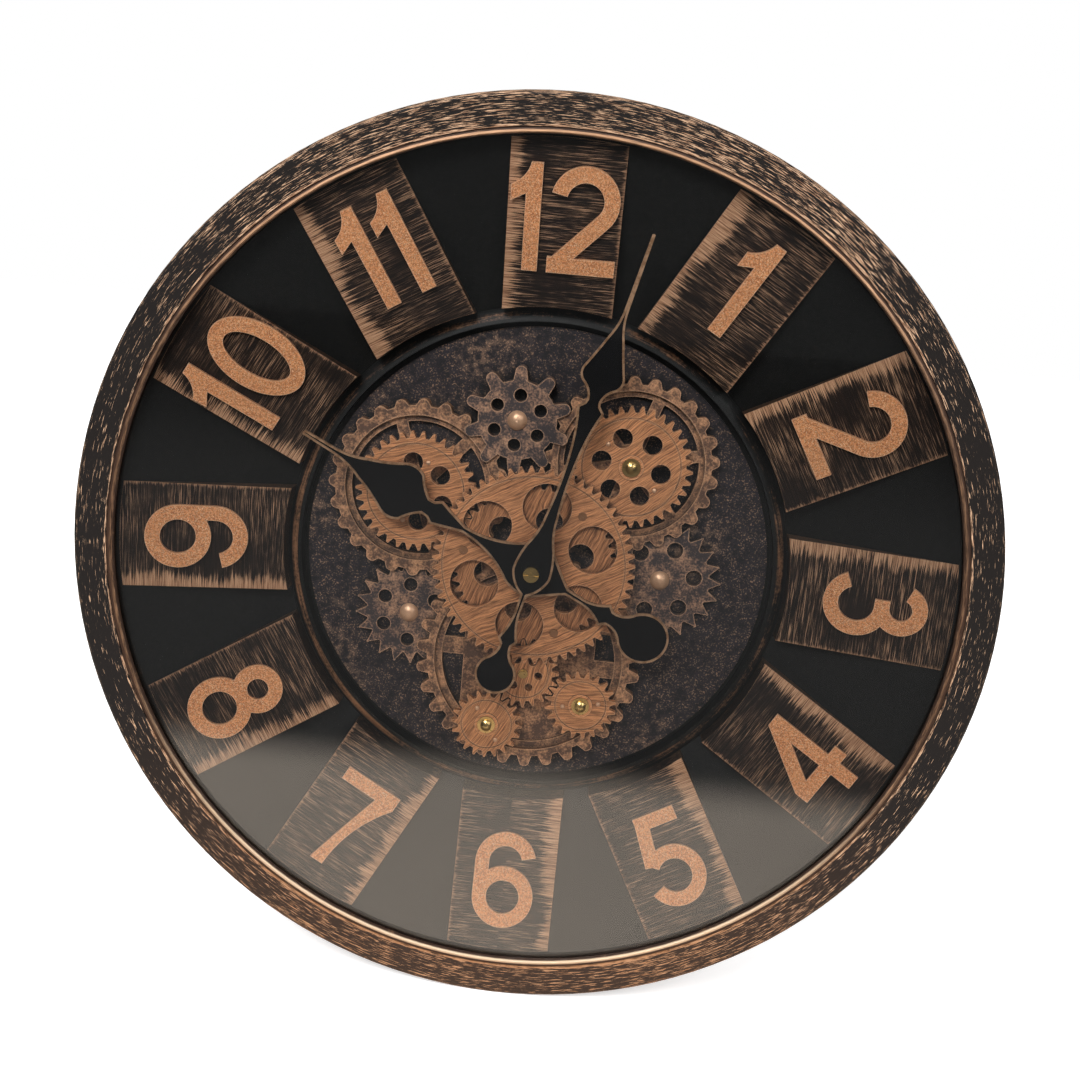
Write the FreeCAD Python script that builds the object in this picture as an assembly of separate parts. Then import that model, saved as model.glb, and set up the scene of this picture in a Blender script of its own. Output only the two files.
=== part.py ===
import FreeCAD, Part
import math
import os

V = FreeCAD.Vector
os.makedirs("parts", exist_ok=True)

# The clock hangs on a wall in the plane y = 0, faces -Y and has +Z up. All lengths are in mm.
# A depth is a distance from the wall towards the front. Places are (x, z) as seen from the front.

# Running fits and overruns
running_gap = 0.06
end_play = 0.1
fit_gap = 0.15
overrun = 5.0

# Bezel ring
case_radius = 265.0
case_taper = 3.0
case_depth = 80.2
case_thickness = 3.0
band_width = 18.0
band_slope = 3.8
bezel_edge_drop = 3.6
bezel_edge_round = 2.6
bezel_round_bulge = 0.7
glass_depth = 70.0
glass_ledge = 2.8
wall_back_depth = 66.0
groove_step = 3.0
column_radius = 4.0

# Glass and its bead
glass_thickness = 2.0
glass_edge_gap = 0.4
bead_edge_gap = 0.2
bead_width = 3.2
bead_height = 4.2
bead_flat = 0.7
bead_inner_height = 2.4
bead_outer_height = 3.4
bead_slope_width = 1.2

# Dial with its cone, plates and numerals
dial_thickness = 3.0
cone_edge_gap = 1.2
cone_edge_drop = 1.1
cone_inner_radius = 152.0
cone_inner_depth = 27.4
flange_step = 2.0
flange_edge_gap = 1.6
lip_width = 8.3
lip_rise = 4.6
lip_round_reach = 4.3
lip_round_rise = 3.6
lip_foot_rise = 0.6
disc_edge_gap = 3.3
disc_seat_width = 6.0
plate_step = 0.8
plate_inner_depth = 41.0
plate_count = 12
plate_half_width = 31.6
plate_corner_radius = 154.3
digit_height = 59.4
digit_width = 38.0
digit_stroke = 8.7
digit_gap = 5.2
one_flag_reach = 8.2
numeral_rise = 2.8
digit_reach = 202.5

two_start_angle = 168.0
bowl_end_angle = 158.0
five_start_angle = 142.0
six_end_angle = 14.0
right_angle = 90.0
four_bar_share = 0.22
four_stem_share = 0.2
five_bar_share = 0.62
seven_foot_share = 0.4
seven_bend_share = 0.0
upside_down_hours = (4, 5, 6, 7, 8)

# Relief disc
disc_radius = 140.0
disc_back = 23.0
disc_front = 26.0
disc_skin = 0.8
web_front = 30.0
low_web_front = 28.6
low_cog_front = 30.0
ring_front = 33.0
top_cog_front = 35.0
spoke_count = 6
spoke_half_width = 3.6
relief_hub_radius = 12.0
dome_radius = 5.8
dome_height = 3.0
dome_lift = 0.6

# Moving wheels
gear_module = 2.02
front_module = 1.964
pressure_angle = 24.0
addendum_share = 0.85
dedendum_share = 1.15
backlash = 0.3
rear_teeth = 48
upper_teeth = 34
lower_teeth = 20
front_teeth = 60
wheel_back = 38.6
wheel_front = 42.2
front_wheel_back = 43.4
front_wheel_front = 46.6
upper_left_bearing = 153.0
upper_right_bearing = 51.4
lower_middle_bearing = -90.4
lower_left_bearing = -119.2
lower_right_bearing = -24.4
front_tooth_phase = 0.0
rear_tooth_phase = 1.5

# Holes of the moving wheels
wheel_hole_count = 6
front_hole_radius = 14.5
front_hole_circle = 37.0
front_hole_phase = 22.0
rear_hole_radius = 8.0
rear_hole_circle = 28.5
rear_hole_phase = 16.0
upper_hole_radius = 5.8
upper_hole_circle = 17.8
upper_left_hole_phase = 38.0
upper_right_hole_phase = -8.0
pinion_hole_half = 2.5
pinion_hole_circle = 9.5
pinion_hole_phase = -4.0

front_groove_radius = 55.0
upper_groove_radius = 29.3
lower_groove_radius = 16.0
rivet_count = 3
rivet_circle = 42.6
rivet_phase = 52.0
rivet_radius = 1.4
rivet_head_radius = 2.5
rivet_head_height = 0.5

# Posts, washers and nuts of the wheels
post_radius = 2.0
post_tip_depth = 45.6
spacer_radius = 5.0
groove_width = 0.8
groove_depth = 0.5
wide_washer_radius = 7.3
narrow_washer_radius = 5.4
washer_thickness = 0.8
post_nut_radius = 3.4
post_nut_height = 2.6
post_nut_wall = 1.4
post_head_radius = 4.0
post_head_height = 1.5

# Centre bush, hub and shafts
tube_radius = 4.0
bush_radius = 6.0
bush_foot_radius = 9.0
hub_radius = 10.0
hub_flange_radius = 15.0
hub_back = 37.8
hub_front = 47.3
nut_back = 47.4
nut_bevel = 0.6
centre_nut_radius = 8.6
centre_nut_height = 2.6
tube_tip_depth = 51.0
hour_tube_radius = 2.5
arbor_radius = 1.5
drive_shaft_radius = 2.0
drive_bush_radius = 4.0
drive_shaft_tip_depth = 44.0
drive_collar_radius = 2.9
shaft_back_depth = 15.0
arbor_back_depth = 12.0
arbor_tip_depth = 65.8

# Hands
hour_hand_length = 155.6
hour_hand_back = 54.3
hour_hand_front = 55.5
hour_hand_bearing = 296.4
minute_hand_length = 203.4
minute_hand_back = 61.8
minute_hand_front = 63.0
minute_hand_bearing = 14.2
hand_rim_rise = 0.7
hand_rim_width = 1.25
hour_boss_radius = 5.0
hour_boss_back = 51.6
minute_boss_radius = 3.4
minute_boss_back = 56.6
hand_nut_radius = 4.6
hand_nut_height = 2.4
hand_nut_slot = 1.1
hand_nut_slot_depth = 0.8

# Half outlines of the hands as shares: reach of the length, half width of the blade's, and the middle of an arc
hour_hand_half = 17.6
minute_hand_half = 12.4
hour_shares = (
    (0.9961, 0.0852),
    (0.8612, 0.108),
    ((0.8001, 0.1875), (0.7391, 0.3864)),
    ((0.6716, 0.625), (0.6105, 0.9261)),
    ((0.5707, 1), (0.5296, 0.8636)),
    ((0.5013, 0.5227), (0.4692, 0.2841)),
    (0.4467, 0.2955),
    (0.4216, 0.4432),
    ((0.3663, 0.2841), (0.3021, 0.1136)),
    ((0.1735, 0.2955), (0.0675, 0.7841)),
    ((0.0141, 0.9091), (-0.0386, 0.8864)),
    ((-0.09, 0.5227), (-0.1542, 0.1136)),
    (-0.2249, 0.1023),
    ((-0.2796, 0.2045), (-0.3213, 0.4205)),
    (-0.3438, 0.2614),
    ((-0.3824, 0.3068), (-0.4197, 0.5795)),
    ((-0.5206, 0.8409), (-0.5925, 0)),
)
minute_shares = (
    (0.998, 0.0726),
    (0.7866, 0.1048),
    ((0.7424, 0.1935), (0.7055, 0.3952)),
    ((0.6588, 0.6694), (0.6131, 0.9677)),
    ((0.588, 1), (0.5674, 0.7581)),
    ((0.5487, 0.4516), (0.5261, 0.3306)),
    (0.5162, 0.371),
    (0.5005, 0.6371),
    ((0.4425, 0.4113), (0.3786, 0.2742)),
    ((0.2704, 0.2177), (0.177, 0.3145)),
    ((0.1278, 0.4194), (0.0836, 0.6774)),
    ((0.0442, 0.8548), (0, 0.9274)),
    ((-0.0369, 0.6613), (-0.0664, 0.1532)),
    (-0.1229, 0.129),
    ((-0.1696, 0.2419), (-0.2089, 0.4758)),
    (-0.2262, 0.2742),
    ((-0.2532, 0.3548), (-0.2797, 0.7097)),
    ((-0.3392, 0.9355), (-0.381, 0)),
)

# Quartz and gear motor cases
case_half_side = 28.0
case_wall = 1.5
case_corner_radius = 3.0
case_split_depth = 14.5
case_rear_depth = 6.0
case_front = 23.0
lug_thickness = 2.0
shelf_low = -11.9
gear_shelf_low = -55.4
gear_case_half_height = 31.0
gear_case_drop = 66.0
battery_radius = 7.1
battery_length = 49.4
battery_nub_radius = 2.7
battery_nub_height = 1.1
battery_axis_depth = 14.3
clock_battery_drop = 19.2
gear_battery_drop = 46.6
contact_half = 4.0
contact_thickness = 0.5
lug_radius = 4.5
lug_reach = 32.5
screw_radius = 1.5
screw_head_radius = 3.0
screw_head_height = 1.4
motor_can_radius = 10.5
motor_can_depth = 9.0
coil_radius = 4.2
coil_length = 22.0
coil_core_radius = 1.6
coil_rise = 18.5
coil_depth = 14.5
coil_flange_half = 6.5
board_left = 13.5
board_low = -8.0
board_high = 9.0
board_thickness = 1.0
coil_flange_thickness = 1.0

# Motion work inside the quartz case
fine_module = 0.5
cannon_teeth = 10
minute_wheel_teeth = 30
minute_pinion_teeth = 8
hour_wheel_teeth = 32
set_drive_teeth = 24
set_pinion_teeth = 12
fine_backlash = 0.1
fine_wheel_thickness = 1.2
fine_wheel_gap = 0.2
stud_radius = 0.8
minute_wheel_back = 16.2
minute_wheel_phase = 0.0
hour_wheel_back = 18.0
hour_collar_radius = 3.6
set_wheel_back = 13.8
stem_radius = 1.2
knob_back_depth = 3.0
knob_flute = 0.8
knob_rib_half = 1.2
set_wheel_depth = 14.8
set_knob_radius = 8.0
set_knob_height = 3.0
set_knob_lobes = 12
bearing_boss_radius = 3.0
bearing_boss_length = 4.0

# Gear switch
switch_travel = 4.0
switch_half_length = 2.5
switch_half_width = 1.6
switch_rise = 1.6
switch_foot_half_length = 7.0
switch_foot_thickness = 0.8
switch_foot_half_width = 3.0
switch_body_half_length = 10.0
switch_drop = 87.0

# Back panel and hanger
panel_edge_gap = 0.4
panel_thickness = 3.0
panel_opening_radius = 112.0
hanger_height = 188.0
hanger_half_width = 36.0
hanger_half_height = 13.0
hanger_thickness = 1.5
hanger_window_half_width = 22.0
hanger_window_half_height = 9.0
hanger_screw_reach = 30.0
keyhole_radius = 5.0
keyhole_slot_half = 2.2
keyhole_slot_rise = 7.0
screw_count = 8
screw_length = 12.0
dial_screw_length = 6.0
dial_screw_phase = 22.5
disc_screw_phase = 30.0
disc_screw_count = 6

# Relief wheels: centre, number of teeth, root and tip radius
left_ring_teeth = 24
left_ring_root = 50.2
left_ring_tip = 54.2
left_ring_opening = 44.2
left_ring_ledge = 40.6
right_ring_teeth = 25
right_ring_root = 47.6
right_ring_tip = 52.2
right_ring_opening = 43.5
right_ring_ledge = 40.0
bottom_ring_place = (1.2, -63.8)
bottom_ring_teeth = 30
bottom_ring_root = 62.6
bottom_ring_tip = 69.3
bottom_ring_opening = 58.0
bottom_ring_ledge = 53.5
top_cog_place = (-17.6, 84.8)
top_cog_teeth = 10
top_cog_root = 23.4
top_cog_tip = 32.0
right_cog_place = (76.4, -4.5)
right_cog_teeth = 22
right_cog_root = 30.0
right_cog_tip = 36.8
left_cog_place = (-74.6, -41.0)
left_cog_teeth = 20
left_cog_root = 26.4
left_cog_tip = 33.2
ring_tooth_root_half = 4.5
ring_tooth_tip_half = 2.7
bottom_tooth_root_half = 4.6
bottom_tooth_tip_half = 2.7
top_tooth_root_half = 4.4
top_tooth_tip_half = 3.5
sharp_tooth_root_half = 3.6
sharp_tooth_tip_half = 0.6
tooth_crown = 1.0
round_crown = 3.4
left_ring_phase = 90.0
right_ring_phase = 7.0
bottom_ring_phase = 273.1
top_cog_phase = 90.0
right_cog_phase = 2.0
left_cog_phase = 5.0
left_ring_spoke_phase = 48.0
right_ring_spoke_phase = 12.0
cog_hole_count = 6
top_cog_hole_circle = 14.8
top_cog_hole_radius = 3.8
top_cog_hole_phase = 27.0
right_cog_hole_circle = 20.6
right_cog_hole_radius = 4.9
right_cog_hole_phase = 9.5
left_cog_hole_circle = 17.7
left_cog_hole_radius = 4.2
left_cog_hole_phase = 30.0
window_left = -39.0
window_right = 42.0
window_left_low = -65.0
window_left_high = -54.0
window_right_low = -71.0
window_right_high = -60.0
window_left_rise = 30.0
window_right_rise = 43.0


def point(place, depth):
    """A point of space from its place in the front view and its depth."""
    return V(place[0], -depth, place[1])


def around(centre, radius, angle):
    """The place at a radius and an angle from a centre, counted from +X towards +Z."""
    turn = math.radians(angle)
    return (centre[0] + radius * math.cos(turn), centre[1] + radius * math.sin(turn))


def trace(start, steps, set_point):
    """A closed wire of lines, or of arcs where a step holds a middle and an end."""
    edges = []
    here = start
    for step in steps:
        is_arc = isinstance(step[0], tuple)
        end = step[1] if is_arc else step
        if is_arc:
            edges.append(Part.Arc(set_point(here), set_point(step[0]), set_point(end)).toShape())
        else:
            edges.append(Part.LineSegment(set_point(here), set_point(end)).toShape())
        here = end
    if math.dist(here, start) > 1e-6:
        edges.append(Part.LineSegment(set_point(here), set_point(start)).toShape())
    return Part.Wire(edges)


def flat_wire(start, steps, depth):
    """A closed wire in a plane that faces the front."""
    return trace(start, steps, lambda place: point(place, depth))


def ring_wire(centre, radius, depth):
    """A circle in a plane that faces the front."""
    return Part.Wire(Part.makeCircle(radius, point(centre, depth), V(0, -1, 0)))


def prism(wires, back, front):
    """A solid between two depths, from an outline and its holes."""
    return Part.makeFace(wires, "Part::FaceMakerBullseye").extrude(V(0, back - front, 0))


def disc(centre, radius, back, front):
    """A round solid between two depths."""
    return Part.makeCylinder(radius, front - back, point(centre, back), V(0, -1, 0))


def tube(centre, radius, bore, back, front):
    """A round solid with a bore between two depths."""
    return prism([ring_wire(centre, radius, back), ring_wire(centre, bore, back)], back, front)


def block(low, high, back, front):
    """A box between two places and two depths."""
    return Part.makeBox(high[0] - low[0], front - back, high[1] - low[1], point(low, front))


def turned(start, steps, centre=(0, 0)):
    """A body of revolution about an axis along Y, from a section of radii and depths."""
    section = trace(start, steps, lambda place: V(centre[0] + place[0], -place[1], centre[1]))
    return Part.Face(section).revolve(point(centre, 0), V(0, 1, 0), 360)


def pattern(count, phase, make):
    """The solids that a function makes at evenly spaced angles."""
    return [make(phase + 360 * index / count) for index in range(count)]


def save(name, solids):
    """Writes one part, a solid or a group of solids."""
    shape = Part.makeCompound(solids) if isinstance(solids, list) else solids
    if len(shape.Solids) == 1:
        shape = shape.Solids[0]
    shape.exportStep("parts/" + name + ".step")
    print(name, len(shape.Solids), round(shape.Volume), shape.isValid())


def gear_wire(centre, teeth, module, phase, depth, slack=backlash):
    """The outline of a spur gear with straight-sided teeth on the chords of its involutes."""
    pitch_radius = module * teeth / 2
    base_radius = pitch_radius * math.cos(math.radians(pressure_angle))
    tip_radius = pitch_radius + addendum_share * module
    root_radius = pitch_radius - dedendum_share * module
    pitch_half = (math.pi * module / 2 - slack) / 2 / pitch_radius

    def half_angle(radius):
        """Half the angle that a tooth takes at a radius."""
        roll = math.acos(min(1.0, base_radius / radius))
        start = math.radians(pressure_angle)
        return math.degrees(pitch_half + math.tan(start) - start - math.tan(roll) + roll)

    root_half = half_angle(max(root_radius, base_radius))
    tip_half = half_angle(tip_radius)
    pitch_angle = 360 / teeth
    steps = []
    for index in range(teeth):
        middle = phase + index * pitch_angle
        steps.append(around(centre, tip_radius, middle - tip_half))
        steps.append((around(centre, tip_radius, middle), around(centre, tip_radius, middle + tip_half)))
        steps.append(around(centre, root_radius, middle + root_half))
        valley = around(centre, root_radius, middle + pitch_angle / 2)
        steps.append((valley, around(centre, root_radius, middle + pitch_angle - root_half)))
    start = around(centre, root_radius, phase - root_half)
    steps[-1] = (steps[-1][0], start)
    return flat_wire(start, steps, depth)


def meshing_phase(bearing, teeth, phase, other_teeth):
    """The tooth phase of a gear at a bearing from another, so that tooth meets gap."""
    share = ((bearing - phase) * teeth / 360) % 1
    return bearing + 180 - (0.5 - share) * 360 / other_teeth


def cog_wire(centre, teeth, root, tip, root_half, tip_half, crown, phase, depth):
    """The outline of a relief wheel, with tapered teeth that have round tips."""
    shoulder = tip - crown
    root_turn = math.degrees(root_half / root)
    tip_turn = math.degrees(tip_half / shoulder)
    pitch_angle = 360 / teeth
    start = around(centre, root, phase - root_turn)
    steps = []
    for index in range(teeth):
        middle = phase + index * pitch_angle
        steps.append(around(centre, shoulder, middle - tip_turn))
        steps.append((around(centre, tip, middle), around(centre, shoulder, middle + tip_turn)))
        steps.append(around(centre, root, middle + root_turn))
        valley = around(centre, root, middle + pitch_angle / 2)
        steps.append((valley, around(centre, root, middle + pitch_angle - root_turn)))
    steps[-1] = (steps[-1][0], start)
    return flat_wire(start, steps, depth)


# Radii and depths that follow from the sizes above
case_back_radius = case_radius - case_taper
bezel_edge_depth = case_depth - bezel_edge_drop
bezel_crown_radius = case_radius - bezel_edge_round
bezel_face_depth = case_depth - band_slope
glass_seat_radius = case_radius - band_width
wall_bore_radius = glass_seat_radius - glass_ledge
wall_outer_radius = wall_bore_radius + case_thickness
glass_radius = glass_seat_radius - glass_edge_gap
bead_outer_radius = glass_seat_radius - bead_edge_gap
bead_inner_radius = bead_outer_radius - bead_width
panel_radius = case_back_radius - case_thickness - panel_edge_gap
column_circle = (wall_outer_radius + case_back_radius - case_thickness) / 2
flange_radius = case_back_radius - case_thickness - flange_edge_gap + case_taper / 2
cone_outer_radius = wall_bore_radius - cone_edge_gap
cone_outer_depth = wall_back_depth - cone_edge_drop
flange_inner_radius = cone_outer_radius + flange_step
lip_radius = disc_radius + disc_edge_gap
lip_depth = cone_inner_depth + lip_rise
lip_foot_radius = lip_radius + lip_width
lip_foot_depth = cone_inner_depth + lip_foot_rise
disc_seat_radius = disc_radius - disc_seat_width
disc_seat_back = disc_back - dial_thickness
disc_screw_circle = (disc_seat_radius + disc_radius) / 2
plate_outer_depth = cone_outer_depth + plate_step

# Places of the wheels, from their teeth
upper_distance = gear_module * (rear_teeth + upper_teeth) / 2
middle_distance = gear_module * (rear_teeth + lower_teeth) / 2
lower_distance = gear_module * lower_teeth
axis = (0, 0)
clock_lugs = [(-lug_reach, 0), (lug_reach, 0)]
gear_lugs = [(-lug_reach, -gear_case_drop), (lug_reach, -gear_case_drop)]
upper_left_place = around(axis, upper_distance, upper_left_bearing)
upper_right_place = around(axis, upper_distance, upper_right_bearing)
lower_middle_place = around(axis, middle_distance, lower_middle_bearing)
lower_left_place = around(lower_middle_place, lower_distance, lower_left_bearing)
lower_right_place = around(lower_middle_place, lower_distance, lower_right_bearing)
post_places = [upper_left_place, upper_right_place, lower_left_place, lower_right_place]


def case_bore(depth):
    """The radius of the outer wall's inner face at a depth."""
    return case_back_radius - case_thickness + (case_radius - case_back_radius) * depth / case_depth


def bezel_ring():
    """The turned outer ring with its inner wall, glass seat and screw columns."""
    under_depth = bezel_face_depth - case_thickness
    bulge = math.hypot(bezel_edge_round, bezel_edge_drop)
    crown_middle = (
        case_radius - bezel_edge_round / 2 + bezel_round_bulge * bezel_edge_drop / bulge,
        case_depth - bezel_edge_drop / 2 + bezel_round_bulge * bezel_edge_round / bulge)
    steps = [
        (case_radius, bezel_edge_depth),
        (crown_middle, (bezel_crown_radius, case_depth)),
        (glass_seat_radius, bezel_face_depth),
        (glass_seat_radius, glass_depth),
        (wall_bore_radius, glass_depth),
        (wall_bore_radius, wall_back_depth),
        (wall_outer_radius, wall_back_depth),
        (wall_outer_radius, glass_depth - groove_step),
        (wall_outer_radius + groove_step, glass_depth),
        (wall_outer_radius + groove_step, under_depth),
        (case_bore(bezel_edge_depth), bezel_edge_depth),
        (case_bore(0), 0),
    ]
    ring = turned((case_back_radius, 0), steps)
    column_top_depth = bezel_face_depth - case_thickness / 2

    def panel_column(angle):
        """A column that the back panel is screwed to."""
        return disc(around(axis, column_circle, angle), column_radius, panel_thickness, column_top_depth)

    def dial_column(angle):
        """A shorter column that the dial is screwed to."""
        return disc(around(axis, column_circle, angle), column_radius, wall_back_depth, column_top_depth)

    def screw_hole(angle, depth, length):
        """A hole for a screw in a column."""
        return disc(around(axis, column_circle, angle), screw_radius, depth, depth + length)

    columns = pattern(screw_count, 0, panel_column) + pattern(screw_count, dial_screw_phase, dial_column)
    holes = pattern(screw_count, 0, lambda angle: screw_hole(angle, panel_thickness, screw_length))
    holes += pattern(screw_count, dial_screw_phase, lambda angle: screw_hole(
        angle, wall_back_depth, dial_screw_length))
    return ring.multiFuse(columns).cut(holes)


def round_screw(place, back, front, head_back):
    """A pan head screw that points to the front."""
    shank = disc(place, screw_radius, back, front)
    return shank.fuse(disc(place, screw_head_radius, head_back, back))


def bead_ring():
    """The bead in front of the glass."""
    back = glass_depth + glass_thickness
    slope = bead_inner_radius + bead_flat + bead_slope_width
    steps = [
        (bead_outer_radius, back),
        (bead_outer_radius, back + bead_outer_height),
        (slope, back + bead_outer_height),
        (bead_inner_radius + bead_flat, back + bead_height),
        (bead_inner_radius, back + bead_inner_height),
    ]
    return turned((bead_inner_radius, back), steps)


def cone_depth(radius):
    """The depth of the dial's cone at a radius."""
    share = (radius - cone_inner_radius) / (cone_outer_radius - cone_inner_radius)
    return cone_inner_depth + share * (cone_outer_depth - cone_inner_depth)


def dial_body():
    """The pressed dial with its lip, cone and flange."""
    flange_back = wall_back_depth - dial_thickness
    wall_radius = lip_radius + dial_thickness
    steps = [
        (disc_seat_radius, disc_back),
        (lip_radius, disc_back),
        (lip_radius, lip_depth),
        ((lip_radius + lip_round_reach, cone_inner_depth + lip_round_rise), (lip_foot_radius, lip_foot_depth)),
        (cone_inner_radius, cone_inner_depth),
        (cone_outer_radius, cone_outer_depth),
        (flange_inner_radius, wall_back_depth),
        (flange_radius, wall_back_depth),
        (flange_radius, flange_back),
        (flange_inner_radius, flange_back),
        (cone_outer_radius, cone_outer_depth - dial_thickness),
        (cone_inner_radius, cone_inner_depth - dial_thickness),
        (wall_radius, cone_inner_depth - dial_thickness),
        (wall_radius, disc_seat_back),
    ]
    body = turned((disc_seat_radius, disc_seat_back), steps)
    clear = column_radius + fit_gap
    cuts = pattern(screw_count, 0, lambda angle: disc(
        around(axis, column_circle, angle), clear, flange_back - overrun, wall_back_depth + overrun))
    cuts += pattern(screw_count, dial_screw_phase, lambda angle: disc(
        around(axis, column_circle, angle), screw_radius, flange_back - overrun, wall_back_depth + overrun))
    cuts += pattern(disc_screw_count, disc_screw_phase, lambda angle: disc(
        around(axis, disc_screw_circle, angle), screw_radius, disc_seat_back - overrun, disc_back + overrun))
    return body.cut(cuts)


def sloped(shape):
    """A shape turned from the level of a plate's inner end to the slope of its top."""
    pivot = point((0, cone_inner_radius), plate_inner_depth)
    slope = math.atan2(plate_outer_depth - plate_inner_depth, cone_outer_radius - cone_inner_radius)
    return shape.rotated(pivot, V(1, 0, 0), math.degrees(slope))


def number_plates():
    """The wedge plates under the numerals, thick at the inner end, with a gentler slope than the cone."""
    steps = [
        (cone_inner_radius, cone_inner_depth),
        (cone_outer_radius, cone_outer_depth),
        (flange_inner_radius, cone_depth(flange_inner_radius)),
        (flange_inner_radius, disc_back),
        (lip_radius, disc_back),
    ]
    under = turned((lip_radius, cone_depth(lip_radius)), steps)
    side_low = math.sqrt(cone_inner_radius ** 2 - plate_half_width ** 2)
    side_high = math.sqrt(cone_outer_radius ** 2 - plate_half_width ** 2)
    outline = [
        ((0, cone_inner_radius), (plate_half_width, side_low)),
        (plate_half_width, side_high),
        ((0, cone_outer_radius), (-plate_half_width, side_high)),
    ]
    blank = prism([flat_wire((-plate_half_width, side_low), outline, disc_front)], disc_front, case_depth)
    reach = plate_half_width + overrun
    above = block((-reach, 0), (reach, case_radius), plate_inner_depth, plate_inner_depth + case_depth)
    plate = blank.cut([under, sloped(above)])
    return pattern(plate_count, 0, lambda angle: plate.rotated(V(0, 0, 0), V(0, 1, 0), angle))


def raised(wires_at):
    """A flat raised piece of a numeral, from a function that gives its wires at a depth."""
    return prism(wires_at(plate_inner_depth), plate_inner_depth, plate_inner_depth + numeral_rise)


def area(start, steps):
    """A raised piece from an outline."""
    return raised(lambda depth: [flat_wire(start, steps, depth)])


def stroke(start, end):
    """A straight stroke with square ends between two places."""
    run = math.dist(start, end)
    side = ((end[1] - start[1]) / run * digit_stroke / 2, (start[0] - end[0]) / run * digit_stroke / 2)
    corners = [
        (end[0] + side[0], end[1] + side[1]),
        (end[0] - side[0], end[1] - side[1]),
        (start[0] - side[0], start[1] - side[1]),
    ]
    return area((start[0] + side[0], start[1] + side[1]), corners)


def bow(centre, radius, first, last):
    """A stroke along a circle, with the given outer radius, between two angles."""
    inner = radius - digit_stroke
    middle = (first + last) / 2
    steps = [
        (around(centre, radius, middle), around(centre, radius, last)),
        around(centre, inner, last),
        (around(centre, inner, middle), around(centre, inner, first)),
    ]
    return area(around(centre, radius, first), steps)


def loop(centre, radius):
    """A whole round stroke with the given outer radius."""
    inner = radius - digit_stroke
    return raised(lambda depth: [ring_wire(centre, radius, depth), ring_wire(centre, inner, depth)])


def oval(width, height, depth):
    """An upright oval wire."""
    curve = Part.Ellipse(point((0, height / 2), depth), point((width / 2, 0), depth), point((0, 0), depth))
    return Part.Wire(curve.toShape())


def digit_pieces(digit, height):
    """The strokes of a digit that is centred on the origin."""
    top = height / 2
    side = digit_width / 2
    half = digit_stroke / 2
    low = (0, side - top)
    high_radius = top + half - side
    high = (0, top - high_radius)
    if digit == 0:
        inner_width = digit_width - 2 * digit_stroke
        inner_height = height - 2 * digit_stroke
        return [raised(lambda depth: [
            oval(digit_width, height, depth), oval(inner_width, inner_height, depth)])]
    if digit == 1:
        stem_left = half - digit_stroke
        flag_left = stem_left - one_flag_reach
        flag_low = top - one_flag_reach - digit_stroke - half
        flag_middle = ((flag_left + stem_left) / 2 + half / 2, top - one_flag_reach)
        steps = [
            (flag_left, flag_low + digit_stroke),
            (flag_middle, (stem_left + half / 2, top)),
            (half, top),
            (half, -top),
            (stem_left, -top),
            (stem_left, flag_low + half),
        ]
        return [area((flag_left, flag_low), steps)]
    if digit == 2:
        bowl = (0, top - side)
        foot = (half - side, half - top)
        middle_radius = side - half
        turn = math.atan2(foot[1] - bowl[1], foot[0] - bowl[0])
        turn += math.acos(middle_radius / math.dist(foot, bowl))
        leave = math.degrees(turn)
        return [
            bow(bowl, side, leave, two_start_angle),
            stroke(around(bowl, middle_radius, leave), foot),
            area((-side, -top), [(side, -top), (side, digit_stroke - top), (-side, digit_stroke - top)]),
        ]
    if digit == 3:
        waist = high[1] - high_radius + half
        return [
            bow(high, high_radius, -right_angle, bowl_end_angle),
            bow(low, side, -bowl_end_angle, right_angle),
            stroke((-half, waist), (0, waist)),
        ]
    if digit == 4:
        bar_low = four_bar_share * height - top
        bar_high = bar_low + digit_stroke
        stem = four_stem_share * side
        apex = (stem, top)
        run = (apex[0] + side, apex[1] - bar_high)
        length = math.hypot(run[0], run[1])
        hole_left = digit_stroke * length / run[1] - side
        hole_top = bar_high + (stem - hole_left) * run[1] / run[0]
        outline = [
            (-side, bar_high), apex, (stem + digit_stroke, top), (stem + digit_stroke, bar_high),
            (side, bar_high), (side, bar_low), (stem + digit_stroke, bar_low),
            (stem + digit_stroke, -top), (stem, -top), (stem, bar_low),
        ]
        hole = [(stem, bar_high), (stem, hole_top)]
        return [raised(lambda depth: [
            flat_wire((-side, bar_low), outline, depth), flat_wire((hole_left, bar_high), hole, depth)])]
    if digit == 5:
        bar_left = -five_bar_share * side
        arrive = around(low, side - half, five_start_angle)
        return [
            bow(low, side, -bowl_end_angle, five_start_angle),
            stroke(arrive, (bar_left + half, top - half)),
            area((bar_left, top - digit_stroke), [
                (side - half, top - digit_stroke), (side - half, top), (bar_left, top)]),
        ]
    if digit == 6:
        crown = (0, top - side)
        back_stroke = area((-side, low[1]), [
            (digit_stroke - side, low[1]), (digit_stroke - side, crown[1]), (-side, crown[1])])
        return [loop(low, side), bow(crown, side, six_end_angle, 2 * right_angle), back_stroke]
    if digit == 7:
        foot_left = -seven_foot_share * side
        inner_bend = (seven_bend_share * side, 0)
        outer_bend = (seven_bend_share * side + digit_stroke, half)
        steps = [
            (-side, top),
            (-side, top - digit_stroke),
            (side - digit_stroke - half, top - digit_stroke),
            (inner_bend, (foot_left, -top)),
            (foot_left + digit_stroke, -top),
            (outer_bend, (side, top - digit_stroke)),
        ]
        return [area((side, top), steps)]
    return [loop(low, side), loop(high, high_radius)]


def digit_solid(digit, height):
    """One digit as one solid. The nine is a six upside down."""
    if digit == 9:
        return digit_solid(6, height).rotated(V(0, 0, 0), V(0, 1, 0), 2 * right_angle)
    pieces = digit_pieces(digit, height)
    if len(pieces) == 1:
        return pieces[0]
    return pieces[0].multiFuse(pieces[1:]).removeSplitter()


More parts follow.
